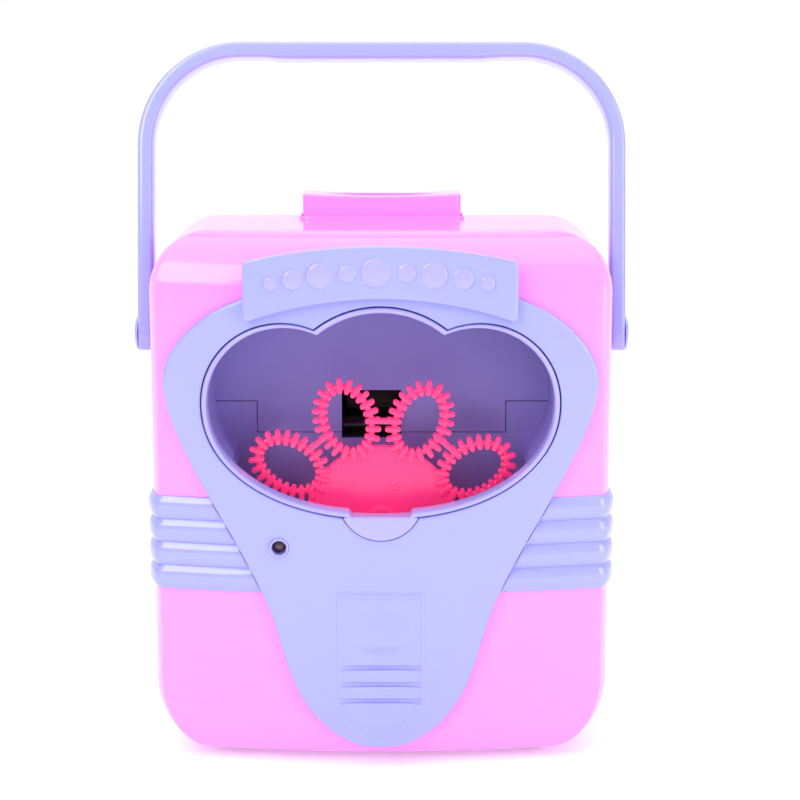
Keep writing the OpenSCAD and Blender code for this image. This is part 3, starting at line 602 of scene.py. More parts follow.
class BuildCase(bpy.types.Operator):
    """Both shells: loops of the case outline, moved in by the edge rounding at each height,
    hollowed, parted at the seam and pierced."""

    bl_idname = "bubbles.case"
    bl_label = "Case shells"

    @staticmethod
    def solid(inset):
        """Loops at heights round the bottom edge, up the side and round the top edge."""
        s = bpy.context.scene.case_sizes
        low, high = BASE_Z + inset, TOP_Z - inset
        a = quarter(20)
        side, face, top = s.base_side_r - inset, s.base_face_r - inset, s.top_r - inset

        def arc(r, rise):
            """How far a rounding of radius r has moved in, at a height above its start."""
            left = np.maximum(r - rise, 0)
            return r - np.sqrt(r ** 2 - left ** 2)

        rises = side * (1 - np.cos(a))
        rows = [(arc(side, h), arc(face, h), low + h) for h in rises]
        rows += [(0, 0, z) for z in np.linspace(low + side, high - top, 12)[1:-1]]
        over = top * (1 - np.cos(a))
        rows += [(d, d, z) for d, z in zip(over, high - top + top * np.sin(a))]
        loops = [level(case_loop(ix + inset, iy + inset), z) for ix, iy, z in rows]
        return mesh_of("case_solid", *loft(loops))

    def shell(self, front):
        s = bpy.context.scene.case_sizes
        y0, y1 = (-REACH, SEAM_Y - s.seam) if front else (SEAM_Y + s.seam, REACH)
        mesh = cut(self.solid(0.0), self.solid(s.wall))
        return cut(mesh, box_mesh((-REACH, y0, -REACH), (REACH, y1, 2 * REACH)), "INTERSECT")

    def execute(self, context):
        front = self.shell(True)
        angle = full_turn(400, -np.pi)
        hole = polar(cloud_radius(angle), angle)
        front = cut(front, prism_mesh(hole, FRONT_Y - 0.02, FRONT_Y + 0.02))
        finish_piece("case_front", front, "case", "shell_pink", 0.5)
        rear = self.shell(False)
        low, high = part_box("power_key")
        edge = 0.4 * MM
        rear = cut(rear, box_mesh((low.x - edge, low.y - edge, TOP_Z - 0.01),
                                  (high.x + edge, high.y + edge, TOP_Z + 0.01)))
        low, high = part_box("battery_door")
        rod_end, swing_room = 4 * MM, 1.2 * MM
        rear = cut(rear, box_mesh((low.x + rod_end - edge, REAR_Y - 0.01, low.z - swing_room),
                                  (high.x - rod_end + edge, REAR_Y + 0.01, high.z + edge)))
        # Bore for the ends of the door's hinge rod
        reach, bore = high.x + edge, 1.25 * MM
        centre = (0, REAR_Y - 1.75 * MM, low.z + 1.4 * MM)
        rear = bored(rear, bore, -reach, reach, centre, "X", 24)
        # Five air slots behind the blower
        fan_x = middle(*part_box("fan_housing"))[0]
        slots_z, pitch, half = 136 * MM, 7 * MM, 1.6 * MM
        for k in range(-2, 3):
            slot = rounded_loop(15 * MM, -half, half, 1.55 * MM, 2, 6) + (fan_x, slots_z + pitch * k)
            rear = pierce(rear, slot, REAR_Y)
        # Wells over the case screws
        well_r, well_deep = 3.4 * MM, 8 * MM
        for k in range(1, 5):
            x, _, z = middle(*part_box(f"case_screw_{k}"))
            rear = bored(rear, well_r, 0, 0.02, (x, REAR_Y - well_deep, z))
        finish_piece("case_rear", rear, "case", "shell_pink", 0.5)
        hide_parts("front_shell")
        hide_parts("rear_shell")
        return {"FINISHED"}


class BuildBelt(bpy.types.Operator):
    """Ribbed belt: a profile of round crests, out = base + crest (1 - |2v - 1|^2.6), carried round
    the case outline, then parted at the seam and at the panel."""

    bl_idname = "bubbles.belt"
    bl_label = "Belt"

    @staticmethod
    def ring():
        low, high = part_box("belt_rear")
        ribs, back, base, crest = 4, -1.2 * MM, 0.5 * MM, 1.48 * MM
        v = np.linspace(0, 1, 15)[:-1]
        out, z = [back], [low.z]
        for k in range(ribs):
            out += list(base + crest * (1 - np.abs(2 * v - 1) ** 2.6))
            z += list(low.z + (high.z - low.z) * (k + v) / ribs)
        out += [base, back]
        z += [high.z, high.z]
        rows = [level(case_loop(-o, -o), h) for o, h in zip(out, z)]
        return mesh_of("belt_ring", *loft(rows, wrap_rows=True))

    def execute(self, context):
        seam, gap = context.scene.case_sizes.seam, 0.25 * MM
        angle = full_turn(500, -np.pi)
        shield = polar(shield_radius(angle) + gap, angle)
        front = cut(self.ring(), box_mesh((-REACH, SEAM_Y - seam, -REACH), (REACH, REACH, REACH)))
        front = cut(front, prism_mesh(shield, FRONT_Y - 0.02, FRONT_Y + 0.02))
        piece = finish_piece("belt_ribs_front", front, "case", "trim_lavender", 0.6)
        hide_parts("belt_front_left", "belt_front_right")
        rear = cut(self.ring(), box_mesh((-REACH, -REACH, -REACH), (REACH, SEAM_Y + seam, REACH)))
        piece = finish_piece("belt_ribs_rear", rear, "case", "trim_lavender", 0.6)
        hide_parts("belt_rear")
        return {"FINISHED"}


class BuildPanel(bpy.types.Operator):
    """Shield panel: rays from the opening to the shield's edge, on the bulged front, with round
    edges and a tongue: its rim is added as a height, its dimple and grooves are cut."""

    bl_idname = "bubbles.panel"
    bl_label = "Front panel"

    @staticmethod
    def relief(x, z):
        """Height of the tongue's rim: a bell shape exp(-(d/0.7)^2) of the distance from its edge."""
        x, z = x / MM, z / MM
        half, bend, drop, top, n = 14.9, 34, 19.5, 64.6, 2.3
        below = np.maximum(bend - z, 0) / drop
        edge = np.where(z > bend, np.abs(x) / half, (np.abs(x / half) ** n + below ** n) ** (1 / n))
        inside = np.maximum((edge - 1) * half, z - top)
        return np.exp(-(inside / 0.7) ** 2) * 0.42 * MM

    @staticmethod
    def groove(height, depth):
        """Cutter for one groove: sloping lips, and a floor that falls as sqrt(1 - (x/a)^2)."""
        half = 14.4 * MM
        x = np.linspace(-half, half, 33)[:, None]
        floor = 1.25 * MM * np.sqrt(1 - (x / half) ** 2) - 0.05 * MM
        lip = np.array([-2, -0.02, 0, 0, 0, 0, -0.02, -2]) * MM
        share = np.array([0, 0, 0.3, 1, 1, 0.3, 0, 0])
        z = height * MM + np.array([1.2, 1.2, 0.85, 0.75, -0.75, -0.85, -1.2, -1.2]) * MM
        y = bow(x) - depth + lip + floor * share
        return mesh_of("groove", *loft(np.stack([x + 0 * y, y, z + 0 * y], -1)))

    @staticmethod
    def dimple(depth):
        """Cutter for the oval dimple: depth 0.9 mm (1 - r^2 / R^2), stretched along x."""
        rim, above, height, stretch = 9.2 * MM, -3 * MM, 50.8 * MM, 1.24
        radius = np.linspace(0.01, 9.2, 12) * MM
        bowl = [(q, 0.9 * MM * (1 - (q / (8.4 * MM)) ** 2)) for q in radius]
        verts, faces = spun(bowl + [(rim, above), (0.01 * MM, above)], (0, -depth, height))
        verts[:, 0] *= stretch
        verts[:, 1] += bow(verts[:, 0])
        return mesh_of("dimple", verts, faces)

    def execute(self, context):
        depth = context.scene.case_sizes.panel_t
        # Rays lie closer together over the tongue
        fine = 0.29
        tail = np.linspace(-fine, fine, 230)
        side = fine + (np.pi - fine) * np.linspace(0, 1, 190)[1:]
        angle = np.concatenate([tail, side, -side[::-1][1:]])
        inner, outer = cloud_radius(angle), shield_radius(angle)
        round_r = 1.1 * MM
        edge = rim_rings(depth, round_r, 0.2 * MM, 6)
        rows = []

        def row(r, d, relief=False):
            p = polar(r, angle)
            lift = self.relief(*p.T) if relief else 0
            rows.append(standing(p, bow(p[:, 0]) - d - lift))

        for inset, d in edge:
            row(outer - inset, d)
        for k in np.linspace(0, 1, 120)[1:-1]:
            row((outer - round_r) * (1 - k) + (inner + 0.5 * MM) * k, depth, True)
        row(inner + 0.5 * MM, depth)
        row(inner + 0.12 * MM, depth - 0.2 * MM)
        row(inner, depth - 0.6 * MM)
        row(inner, 0.2 * MM)
        mesh = mesh_of("panel", *loft(rows, wrap_rows=True))
        x, _, z = middle(*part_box("lamp_ferrule"))
        mesh = bored(mesh, 3.6 * MM, 0, 0.03, (x, FRONT_Y - 0.01, z))
        mesh = pierce(mesh, lip_outline(0.35 * MM), FRONT_Y)
        for height in (25.5, 31.6, 37.8):
            mesh = cut(mesh, self.groove(height, depth))
        mesh = cut(mesh, self.dimple(depth))
        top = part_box("front_panel")[1].z
        mesh = cut(mesh, box_mesh((-0.1, -0.1, top), (0.1, 0.1, 0.3)))
        piece = finish_piece("shield_panel", mesh, "case", "trim_lavender", 0.55)
        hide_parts("front_panel")
        return {"FINISHED"}


class BuildBanner(bpy.types.Operator):
    """Arched banner: a plate between two arcs with round edges, and a row of raised bubbles."""

    bl_idname = "bubbles.banner"
    bl_label = "Banner"

    def execute(self, context):
        s = context.scene.case_sizes
        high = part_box("name_banner")[1]
        hx, crown = high.x, high.z
        base = s.panel_t
        top_r, low_r, low_z = 205 * MM, 138 * MM, 171 * MM
        x = np.linspace(-hx, hx, 90)
        upper = np.c_[x[::-1], crown - top_r + np.sqrt(top_r ** 2 - x[::-1] ** 2)]
        lower = np.c_[x, low_z - low_r + np.sqrt(low_r ** 2 - x ** 2)]
        corner = 1.6 * MM
        for arc, way in ((upper, -1), (lower, 1)):
            near_end = np.maximum(0, (np.abs(arc[:, 0]) - hx + corner) / corner)
            arc[:, 1] += way * corner * near_end ** 3
        v = np.linspace(0, 1, 14)[1:-1, None]
        right = lower[-1] + (upper[0] - lower[-1]) * v
        left = upper[-1] + (lower[0] - upper[-1]) * v
        outline = np.concatenate([lower, right, upper, left])
        centre = np.array([0.0, 0.5 * (crown + low_z)])
        rings = rim_rings(base + s.banner_t, 1.0 * MM, base - 0.1 * MM)
        piece = add_piece("banner_plate", plate(outline, rings, centre), "case", "trim_lavender")
        root = rounded_loop(40 * MM, FRONT_Y - base - 0.5 * MM, FRONT_Y + 8 * MM, 3 * MM)
        rows = [level(root, TOP_Z - drop * MM) for drop in (16, 9, 7.5)]
        rows[2][:, 1] = np.minimum(rows[2][:, 1], FRONT_Y + 4 * MM)
        add_piece("banner_root", loft(rows), "case", "trim_lavender")
        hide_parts("name_banner")
        parts = []
        bubbles = [(-38, 2.6), (-30.5, 3.6), (-21, 4.6), (-11.5, 3.2), (-1.5, 5.2), (9, 3.4),
                   (18.5, 4.8), (28.5, 3.8), (37, 2.8)]
        for bx, br in bubbles:
            cx, r = bx * MM, br * MM
            cz = crown - 9 * MM - cx ** 2 / (top_r + low_r)
            y = bow(cx) - base - s.banner_t
            parts.append(spun([(r, 0.5 * MM)] + dome(r, -0.88 * MM, 10), (cx, y, cz), "Y", 40))
        piece = add_piece("raised_bubbles", joined(parts), "case", "pale_violet")
        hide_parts("banner_bubbles")
        return {"FINISHED"}


class BuildChamber(bpy.types.Operator):
    """Chamber wall behind the rim, cut away where the dip tank stands, and the back wall with
    the vent: both follow the cloud outline moved in by a set amount."""

    bl_idname = "bubbles.chamber"
    bl_label = "Chamber wall"

    def execute(self, context):
        angle = full_turn(480, -np.pi)
        r = cloud_radius(angle)

        def ring(inset, y):
            return standing(polar(r - rim_inset(angle, inset), angle), y)

        edge_in, edge_out = 2.2 * MM, 0.6 * MM
        start = bow((r - edge_in) * np.sin(angle)) - 1 * MM
        rows = [ring(edge_out, start), ring(edge_out, BACK_Y), ring(edge_in, BACK_Y),
                ring(edge_in, start)]
        tube = mesh_of("tube", *loft(rows, wrap_rows=True))
        t = full_turn(160)
        k = np.concatenate([[1], np.linspace(1, 0.02, 12)])[:, None] * (TROUGH_R + 0.1 * MM)
        x, z = k * np.cos(t), WHEEL_Z + k * np.sin(t)
        y = bow(x) + context.scene.case_sizes.wall + 1.8 * MM
        y[0] = BACK_Y + 0.01
        tube = cut(tube, mesh_of("trough", *loft(np.stack([x, y, z], -1))))
        piece = finish_piece("chamber_wall", tube, "case", "chamber_violet", 0.5)
        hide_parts("chamber_liner")
        flange = [(-2.4, 2.6), (-2.4, 4.1), (2.2, 4.1), (2.2, 2.6)]
        rows = [ring(i * MM, bow((r - i * MM) * np.sin(angle)) + d * MM) for i, d in flange]
        add_piece("chamber_flange", loft(rows, wrap_rows=True), "case", "chamber_violet")
        # Back wall, stepped over the tank's shoulders and raised middle
        back_t, seam = 2 * MM, 0.3 * MM
        wall = prism_mesh(polar(r - edge_out, angle), BACK_Y, BACK_Y + back_t)
        wide, x, z = 0.09, 46 * MM - seam, 115.6 * MM + seam
        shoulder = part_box("solution_tank")[1].z + seam
        steps = np.array([(wide, 0), (wide, shoulder), (x, shoulder), (x, z), (-x, z), (-x, shoulder),
                          (-wide, shoulder), (-wide, 0)])
        wall = pierce(wall, steps, BACK_Y)
        # Vent at the mouth of the blower's duct
        rim, vent_w, vent_low, vent_high = 1.5 * MM, 21.9 * MM, 113.5 * MM, 131.5 * MM
        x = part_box("fan_housing")[0].x + rim
        wall = cut(wall, box_mesh((x, BACK_Y - 0.01, vent_low), (x + vent_w, BACK_Y + 0.01, vent_high)))
        finish_piece("chamber_back", wall, "case", "chamber_violet", 0.5)
        return {"FINISHED"}


class BuildRim(bpy.types.Operator):
    """Rim of the chamber: a round bead carried round the cloud outline, and the pour lip."""

    bl_idname = "bubbles.rim"
    bl_label = "Chamber rim"

    def execute(self, context):
        s = context.scene.case_sizes
        angle = full_turn(720, -np.pi)
        r = cloud_radius(angle)
        bead = [(0.45, 0.2), (0.45, 2.9), (0.56, 3.4), (0.85, 3.72), (1.3, 3.8), (1.7, 3.7),
                (2.05, 3.4), (2.3, 2.9), (2.3, -4.1), (1.9, -4.1), (1.9, 0.2)]
        rows = []
        for inset, d in bead:
            p = polar(r - rim_inset(angle, inset * MM), angle)
            rows.append(standing(p, bow(p[:, 0]) - d * MM))
        add_piece("chamber_rim", loft(rows, wrap_rows=True), "case", "pale_violet", 0.9)
        rings = rim_rings(s.panel_t + 0.75 * MM, 0.4 * MM, s.panel_t - 2 * MM)
        lip = plate(lip_outline(), rings, np.array([0.0, 90 * MM]))
        add_piece("pour_lip", lip, "case", "pale_violet")
        return {"FINISHED"}


class BuildWheel(bpy.types.Operator):
    """Wand wheel: a dished disc, and round each wand an oval hoop (a round section carried
    along an ellipse) crossed by bars with round ends."""

    bl_idname = "bubbles.wheel"
    bl_label = "Wand wheel"

    @staticmethod
    def bar(centre, direction, length, width, y0, y1):
        """A stadium outline lofted from y0 to y1, slightly rounded at its front edge."""
        a = np.linspace(-np.pi / 2, np.pi / 2, 6)
        r = 0.5 * width
        end = np.c_[0.5 * length - r + r * np.cos(a), r * np.sin(a)]
        loop = np.vstack([end, -end])
        u, v = np.array(direction), np.array([-direction[1], direction[0]])
        rows = []
        for k, y in ((1.0, y1), (1.0, y0 + 0.22 * MM), (0.92, y0 + 0.04 * MM), (0.78, y0)):
            p = loop * np.array([1 - (1 - k) * width / length, k])
            rows.append(standing(centre + p[:, :1] * u + p[:, 1:] * v, y))
        return loft(rows)

    def execute(self, context):
        w = context.scene.wheel_sizes
        hoop_a, hoop_b, hoop_w = 12.4 * MM, 8.6 * MM, 1.15 * MM
        parts = []
        disc = [(5.0, 1.0), (26.8, 1.0), (27.4, 0.4), (27.0, -0.4), (24.0, -0.7), (5.0, -0.7),
                (4.65, -1.1), (4.6, -3.0), (3.4, -3.0), (3.2, -1.6), (0.01, -1.6)]
        back = [(0.01, 9), (6, 9), (6, 1.0)]
        parts.append(spun(np.array(back + disc) * MM, (0, WHEEL_Y, WHEEL_Z), "Y", 96))
        t = full_turn(72)
        fine = np.linspace(0, TAU, 400)
        # Length run along the hoop, so that the fins stand at even steps of it
        run = np.hypot(np.diff(hoop_a * np.cos(fine)), np.diff(hoop_b * np.sin(fine)))
        along = np.concatenate([[0], np.cumsum(run)])
        first = np.pi / 2 + np.pi / w.wands - np.radians(1.3)
        spots = []
        for k in range(w.wands):
            turn = first + TAU * k / w.wands
            out = np.array([np.cos(turn), np.sin(turn)])
            across = np.array([-out[1], out[0]])
            mid = np.array([0, WHEEL_Z]) + w.orbit * out
            spots.append(mid)
            rows = []
            for sk in full_turn(10):
                grow = hoop_w * np.cos(sk)
                e = mid + ((hoop_a + grow) * np.cos(t))[:, None] * out \
                    + ((hoop_b + grow) * np.sin(t))[:, None] * across
                rows.append(standing(e, WHEEL_Y + 0.9 * MM * np.sin(sk)))
            parts.append(loft(rows, wrap_rows=True))
            for f in np.interp((np.arange(w.fins) + 0.5) / w.fins, along / along[-1], fine):
                on = mid + hoop_a * np.cos(f) * out + hoop_b * np.sin(f) * across
                d = np.cos(f) / hoop_a * out + np.sin(f) / hoop_b * across
                d = d / np.hypot(*d)
                parts.append(self.bar(on + d * 0.55 * MM, d, w.fin_l, w.fin_w, WHEEL_Y - 1.5 * MM,
                                      WHEEL_Y + 1.2 * MM))
        ring = [(1.5, -0.5), (1.5, -1.0), (1.2, -1.15), (0.9, -1.0), (0.9, -0.75), (0.01, -0.75)]
        away = 13.2 * MM
        for spin in np.radians([67, 187, 307]):
            boss = (away * np.cos(spin), WHEEL_Y, WHEEL_Z + away * np.sin(spin))
            parts.append(spun(np.array(ring) * MM, boss, "Y", 24))
        for m0, m1 in zip(spots, spots[1:] + spots[:1]):
            link = m1 - m0
            apart = np.hypot(*link)
            parts.append(self.bar(0.5 * (m0 + m1), link / apart, apart - 2 * hoop_b + 3.4 * MM, w.fin_w,
                                  WHEEL_Y - 1.6 * MM, WHEEL_Y + 1.0 * MM))
        piece = add_piece("wand_wheel", joined(parts), "wheel", "wheel_rose", 0.8)
        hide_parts("bubble_wheel")
        return {"FINISHED"}


class BuildHandle(bpy.types.Operator):
    """Bail handle: an oblong section |x/a|^4.5 + |y/b|^4.5 = 1 carried up one arm, round two
    corners and down the other, narrowing to a half circle at both pivots."""

    bl_idname = "bubbles.handle"
    bl_label = "Handle"

    def execute(self, context):
        arm_out, strap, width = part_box("handle")[1].x, 6 * MM, 13.4 * MM
        reach, corner = 107.6 * MM, 38 * MM
        lean = np.radians(10.5)
        end_r = 0.5 * width
        mid = arm_out - 0.5 * strap
        cr = corner - 0.5 * strap
        top = reach - 0.5 * strap
        foot = end_r * np.cos(np.linspace(0.02, np.pi / 2, 16))
        rise = np.linspace(0, top - cr, 24)[1:]
        a = quarter(26)[1:]
        right = np.concatenate([np.c_[np.full(16, mid), -foot], np.c_[np.full(23, mid), rise],
                                np.c_[mid - cr + cr * np.cos(a), top - cr + cr * np.sin(a)]])
        bar_x = np.linspace(mid - cr, cr - mid, 30)[1:-1]
        path = np.concatenate([right, np.c_[bar_x, np.full(28, top)],
                               np.c_[-right[::-1, 0], right[::-1, 1]]])
        tangent = np.gradient(path, axis=0)
        tangent /= np.hypot(tangent[:, 0], tangent[:, 1])[:, None]
        normal = np.c_[tangent[:, 1], -tangent[:, 0]]
        half_w = np.sqrt(np.maximum(end_r ** 2 - path[:, 1] ** 2, 1e-9))
        half_w = np.where(path[:, 1] < 0, half_w, end_r)
        grip = 1 + 0.2 * step(44 * MM - np.abs(path[:, 0]), 0, 8 * MM) * (path[:, 1] > 0.09)
        t = full_turn(40)
        sq = 2 / 4.5
        sa = 0.5 * strap * np.sign(np.cos(t)) * np.abs(np.cos(t)) ** sq
        sb = np.sign(np.sin(t)) * np.abs(np.sin(t)) ** sq
        thick = sa[None, :] * np.where(sa[None, :] < 0, grip[:, None], 1)
        x = path[:, 0, None] + normal[:, 0, None] * thick
        z = path[:, 1, None] + normal[:, 1, None] * thick
        y = half_w[:, None] * sb[None, :]
        rows = np.stack([x, SEAM_Y + y * np.cos(lean) + z * np.sin(lean),
                         PIVOT_Z - y * np.sin(lean) + z * np.cos(lean)], -1)
        piece = add_piece("bail_handle", loft(rows), "handle_bail", "trim_lavender", 0.7)
        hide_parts("handle")
        cap_r, rise, skirt = 6.3 * MM, 1.5 * MM, 0.2 * MM
        for side, node in ((-1, "pivot_cap_left"), (1, "pivot_cap_right")):
            profile = [(cap_r, -side * skirt)] + dome(cap_r, side * rise, 9)
            solid = spun(profile, (side * arm_out, SEAM_Y, PIVOT_Z), "X", 48)
            cap = add_piece(f"cap_dome_{node[10:]}", solid, "handle_bail", "trim_lavender")
            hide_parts(node)
        return {"FINISHED"}


class BuildKey(bpy.types.Operator):
    """Push key with a dished top, z = top - dish (1 - (x/a)^2), and its low collar."""

    bl_idname = "bubbles.key"
    bl_label = "Push key"

    def execute(self, context):
        low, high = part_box("power_key")
        hx, y0, y1, top = high.x, low.y, high.y, high.z
        r, dish = 0.9 * MM, 0.9 * MM
        rows = []

        def row(inset, drop, flat=None):
            loop = rounded_loop(hx - inset, y0 + inset, y1 - inset, max(2.2 * MM - inset, 0.5 * MM))
            sag = dish * (1 - np.minimum(1, np.abs(loop[:, 0]) / hx) ** 2)
            rows.append(level(loop, top - sag - drop if flat is None else flat))

        row(0, 0, TOP_Z - 4 * MM)
        row(0, 0, TOP_Z + 4 * MM)
        for k in quarter(8):
            row(r * (1 - np.cos(k)), r * (1 - np.sin(k)))
        for k in np.linspace(0, 1, 10)[1:]:
            row(r + (0.5 * (y1 - y0) - r - 0.6 * MM) * k, 0)
        piece = add_piece("key_cap", loft(rows), "key", "shell_pink")
        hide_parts("power_key")
        low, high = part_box("key_collar")
        section = [(0, -1.0), (0, 0.75), (0.1, 0.93), (0.25, 1.0), (0.6, 1.0), (0.75, 0.93),
                   (0.84, 0.75), (0.84, -1.0)]
        rows = []
        for inset, share in section:
            d = inset * MM
            loop = rounded_loop(high.x - d, low.y + d, high.y - d, 4 * MM - d)
            z = high.z - (1 - share) * (high.z - TOP_Z) if share > 0 else TOP_Z - 0.5 * MM
            rows.append(level(loop, z))
        piece = add_piece("collar_ring", loft(rows, wrap_rows=True), "case", "shell_pink")
        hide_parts("key_collar")
        return {"FINISHED"}


class BuildLamp(bpy.types.Operator):
    """Lamp ferrule with a rolled rim and a domed lens, both turned about Y."""

    bl_idname = "bubbles.lamp"
    bl_label = "Indicator lamp"

    def execute(self, context):
        low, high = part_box("lamp_ferrule")
        cx, _, cz = middle(low, high)
        a = np.linspace(0, np.pi, 9)
        lip = [((3.05 + 0.48 * np.cos(k)) * MM, -0.55 * MM * np.sin(k)) for k in a]
        profile = lip + [(2.55 * MM, 6.4 * MM), (3.53 * MM, 6.4 * MM)]
        t = full_turn(48)
        rows = [standing(np.c_[cx + r * np.cos(t), cz + r * np.sin(t)], low.y + 0.6 * MM + h)
                for r, h in profile]
        piece = add_piece("ferrule_ring", loft(rows, wrap_rows=True), "case", "trim_lavender")
        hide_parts("lamp_ferrule")
        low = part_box("indicator_lamp")[0]
        r, back, front = 2.48 * MM, 4.7 * MM, 1.2 * MM
        profile = [(r, back)] + [(q, front + h) for q, h in dome(r, -1.1 * MM, 8)]
        piece = add_piece("lamp_dome", spun(profile, (cx, low.y, cz), "Y", 40), "case", "lamp_red")
        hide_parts("indicator_lamp")
        return {"FINISHED"}


class BuildScrews(bpy.types.Operator):
    """Screws with domed heads, h = rise (1 - (r/R)^2), a cross recess and a round shank, and
    rubber feet with rounded edges, all turned from profiles."""

    bl_idname = "bubbles.screws"
    bl_label = "Screws and feet"

    def execute(self, context):
        for node, body in [(f"case_screw_{k}", "case") for k in range(1, 5)] + [("door_screw", "door")]:
            low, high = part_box(node)
            cx, _, cz = middle(low, high)
            head, face = (high.x - low.x) / 2, high.y
            deep = 2.3 * MM if body == "case" else 1.1 * MM
            shank = 1.4 * MM
            rise = 0.35 * deep
            crown = [(head * k, -rise * k * k) for k in np.linspace(1, 0.01, 9)]
            profile = [(0.01 * MM, low.y - face), (shank, low.y - face + 0.3 * MM), (shank, -deep),
                       (head, -deep)]
            mesh = mesh_of("screw", *spun(profile + crown, (cx, face, cz), "Y", 40))
            for a, b in ((0.68, 0.13), (0.13, 0.68)):
                arms = (head * a, head * b)
                mesh = cut(mesh, box_mesh((cx - arms[0], face - 0.75 * deep, cz - arms[1]),
                                          (cx + arms[0], face + 1 * MM, cz + arms[1])))
            piece = finish_piece(f"turned_{node}", mesh, body, "plated_steel", 0.5)
            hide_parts(node)
        for k in range(1, 5):
            low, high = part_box(f"foot_{k}")
            r, soft, dip = (high.x - low.x) / 2, 0.8 * MM, 0.35 * MM
            edge = [(r - soft + soft * np.sin(a), soft - soft * np.cos(a)) for a in quarter(8)]
            profile = [(0.01 * MM, dip), (2 * MM, dip), (2.4 * MM, 0)] + edge
            profile += [(r, high.z), (0.01 * MM, high.z)]
            cx, cy, _ = middle(low, high)
            solid = spun(profile, (cx, cy, low.z), "Z", 48)
            piece = add_piece(f"rubber_foot_{k}", solid, "case", "rubber_black")
            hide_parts(f"foot_{k}")
        return {"FINISHED"}


class BuildSpring(bpy.types.Operator):
    """Return spring of the key: a round wire carried along a helix."""

    bl_idname = "bubbles.spring"
    bl_label = "Key spring"

    def execute(self, context):
        low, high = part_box("key_spring")
        cx, cy, _ = middle(low, high)
        wire, coils = 0.45 * MM, 8
        r = (high.x - low.x) / 2 - wire
        u = np.linspace(0, coils * TAU, 320)
        z = np.linspace(low.z + wire, high.z - wire, 320)
        s = full_turn(8)
        ring = (r + wire * np.cos(s))[None, :]
        rows = np.stack([cx + ring * np.cos(u)[:, None], cy + ring * np.sin(u)[:, None],
                         z[:, None] + wire * np.sin(s)[None, :]], -1)
        piece = add_piece("spring_coil", loft(rows), "case", "plated_steel")
        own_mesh(piece)
        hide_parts("key_spring")
        return {"FINISHED"}


class PaintParts(bpy.types.Operator):
    """Gives every model node that stays in view the finish of its own slot."""

    bl_idname = "bubbles.paint"
    bl_label = "Paint parts"

    def execute(self, context):
        slots = {s["node"]: s["material_slot"] for s in frame["record"]["subparts"]}
        for node, obj in frame["nodes"].items():
            if len(obj.material_slots) == 0:
                raise RuntimeError(f"{node} has no material slot")
            for slot in obj.material_slots:
                slot.material = FINISH[slots[node]]
        return {"FINISHED"}


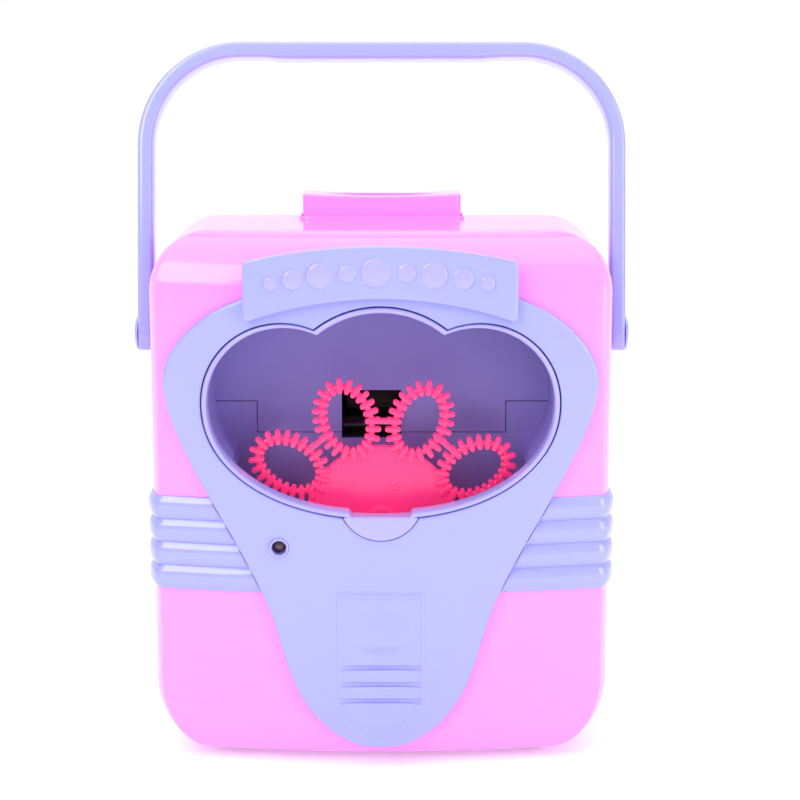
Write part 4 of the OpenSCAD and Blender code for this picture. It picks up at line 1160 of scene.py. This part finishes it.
class BuildStage(bpy.types.Operator):
    """Pale floor and backdrop in one sweep, soft lights and the camera."""

    bl_idname = "bubbles.stage"
    bl_label = "Stage"

    @staticmethod
    def light(name, place, target, size, power):
        data = bpy.data.lights.new(name, "AREA")
        data.shape, data.size, data.size_y, data.energy = "RECTANGLE", size[0], size[1], power
        lamp = bpy.data.objects.new(name, data)
        bpy.context.scene.collection.objects.link(lamp)
        aim = np.array(target) - np.array(place)
        from_z = -aim / np.linalg.norm(aim)
        side = np.cross((0, 0, 1), from_z)
        side /= np.linalg.norm(side)
        turn = np.eye(4)
        turn[:3, 0], turn[:3, 1], turn[:3, 2], turn[:3, 3] = side, np.cross(from_z, side), from_z, place
        lamp.matrix_world = Matrix(turn.tolist())

    def execute(self, context):
        size, back, bend = 4.0, 1.2, 1.0
        a = quarter(16)
        y = np.concatenate([[-size], back + bend * np.sin(a), [back + bend]])
        z = np.concatenate([[0], bend * (1 - np.cos(a)), [size]])
        sheet = np.array([(x, *at) for at in zip(y, z) for x in (-size, size)])
        mesh = mesh_of("floor_sheet", sheet, grid_faces(len(y), 2, wrap_cols=False))
        mesh.shade_smooth()
        floor = bpy.data.objects.new("floor_sheet", mesh)
        context.scene.collection.objects.link(floor)
        white = Finish("studio_white", (0.9, 0.9, 0.9), 0.6, Emission_Color=(1, 1, 1, 1),
                       Emission_Strength=0.25)
        white.tint(white.noise(3.0), (0.88, 0.88, 0.9))
        mesh.materials.append(white.material)
        world = bpy.data.worlds.new("studio")
        context.scene.world = world
        world.use_nodes = True
        light = world.node_tree.nodes["Background"]
        light.inputs[0].default_value = (1, 1, 1, 1)
        light.inputs[1].default_value = 0.6
        self.light("key_light", (-0.55, -0.75, 0.75), (0, 0, 0.1), (0.5, 0.7), 5.0)
        self.light("fill_light", (0.8, -0.6, 0.35), (0, 0, 0.1), (0.4, 0.8), 3.5)
        self.light("top_light", (0, 0.1, 1.1), (0, 0.001, 0.1), (1.7, 1.5), 10.0)
        cam = bpy.data.cameras.new("view")
        cam.lens, cam.sensor_width = 96.3, 36
        cam.clip_start = 0.01
        camera = bpy.data.objects.new("view", cam)
        context.scene.collection.objects.link(camera)
        camera.location = (6.8 * MM, SEAM_Y - 787.5 * MM, 271.5 * MM)
        camera.rotation_euler = (np.radians(90 - 10.5), 0, 0)
        context.scene.camera = camera
        context.scene.view_settings.view_transform = "Standard"
        return {"FINISHED"}


PIECES = (BuildCase, BuildBelt, BuildPanel, BuildBanner, BuildChamber, BuildRim, BuildWheel,
          BuildHandle, BuildKey, BuildLamp, BuildScrews, BuildSpring, PaintParts, BuildStage)
GROUPS = (CaseSizes, WheelSizes, Finishes)


class BubblePanel(bpy.types.Panel):
    """Sidebar panel with the sizes, the colours and one button per piece."""

    bl_idname = "VIEW3D_PT_bubbles"
    bl_label = "Bubble machine"
    bl_space_type = "VIEW_3D"
    bl_region_type = "UI"
    bl_category = "Bubbles"

    def draw(self, context):
        for group in (context.scene.case_sizes, context.scene.wheel_sizes, context.scene.finishes):
            for key in group.__annotations__:
                self.layout.prop(group, key)
        for piece in PIECES:
            self.layout.operator(piece.bl_idname)


def register():
    for c in GROUPS + PIECES + (BubblePanel,):
        bpy.utils.register_class(c)
    bpy.types.Scene.case_sizes = PointerProperty(type=CaseSizes)
    bpy.types.Scene.wheel_sizes = PointerProperty(type=WheelSizes)
    bpy.types.Scene.finishes = PointerProperty(type=Finishes)


def unregister():
    del bpy.types.Scene.case_sizes, bpy.types.Scene.wheel_sizes, bpy.types.Scene.finishes
    for c in reversed(GROUPS + PIECES + (BubblePanel,)):
        bpy.utils.unregister_class(c)


def main():
    register()
    build_finishes()
    for piece in PIECES:
        group, name = piece.bl_idname.split(".")
        getattr(getattr(bpy.ops, group), name)()


if __name__ == "__main__":
    main()
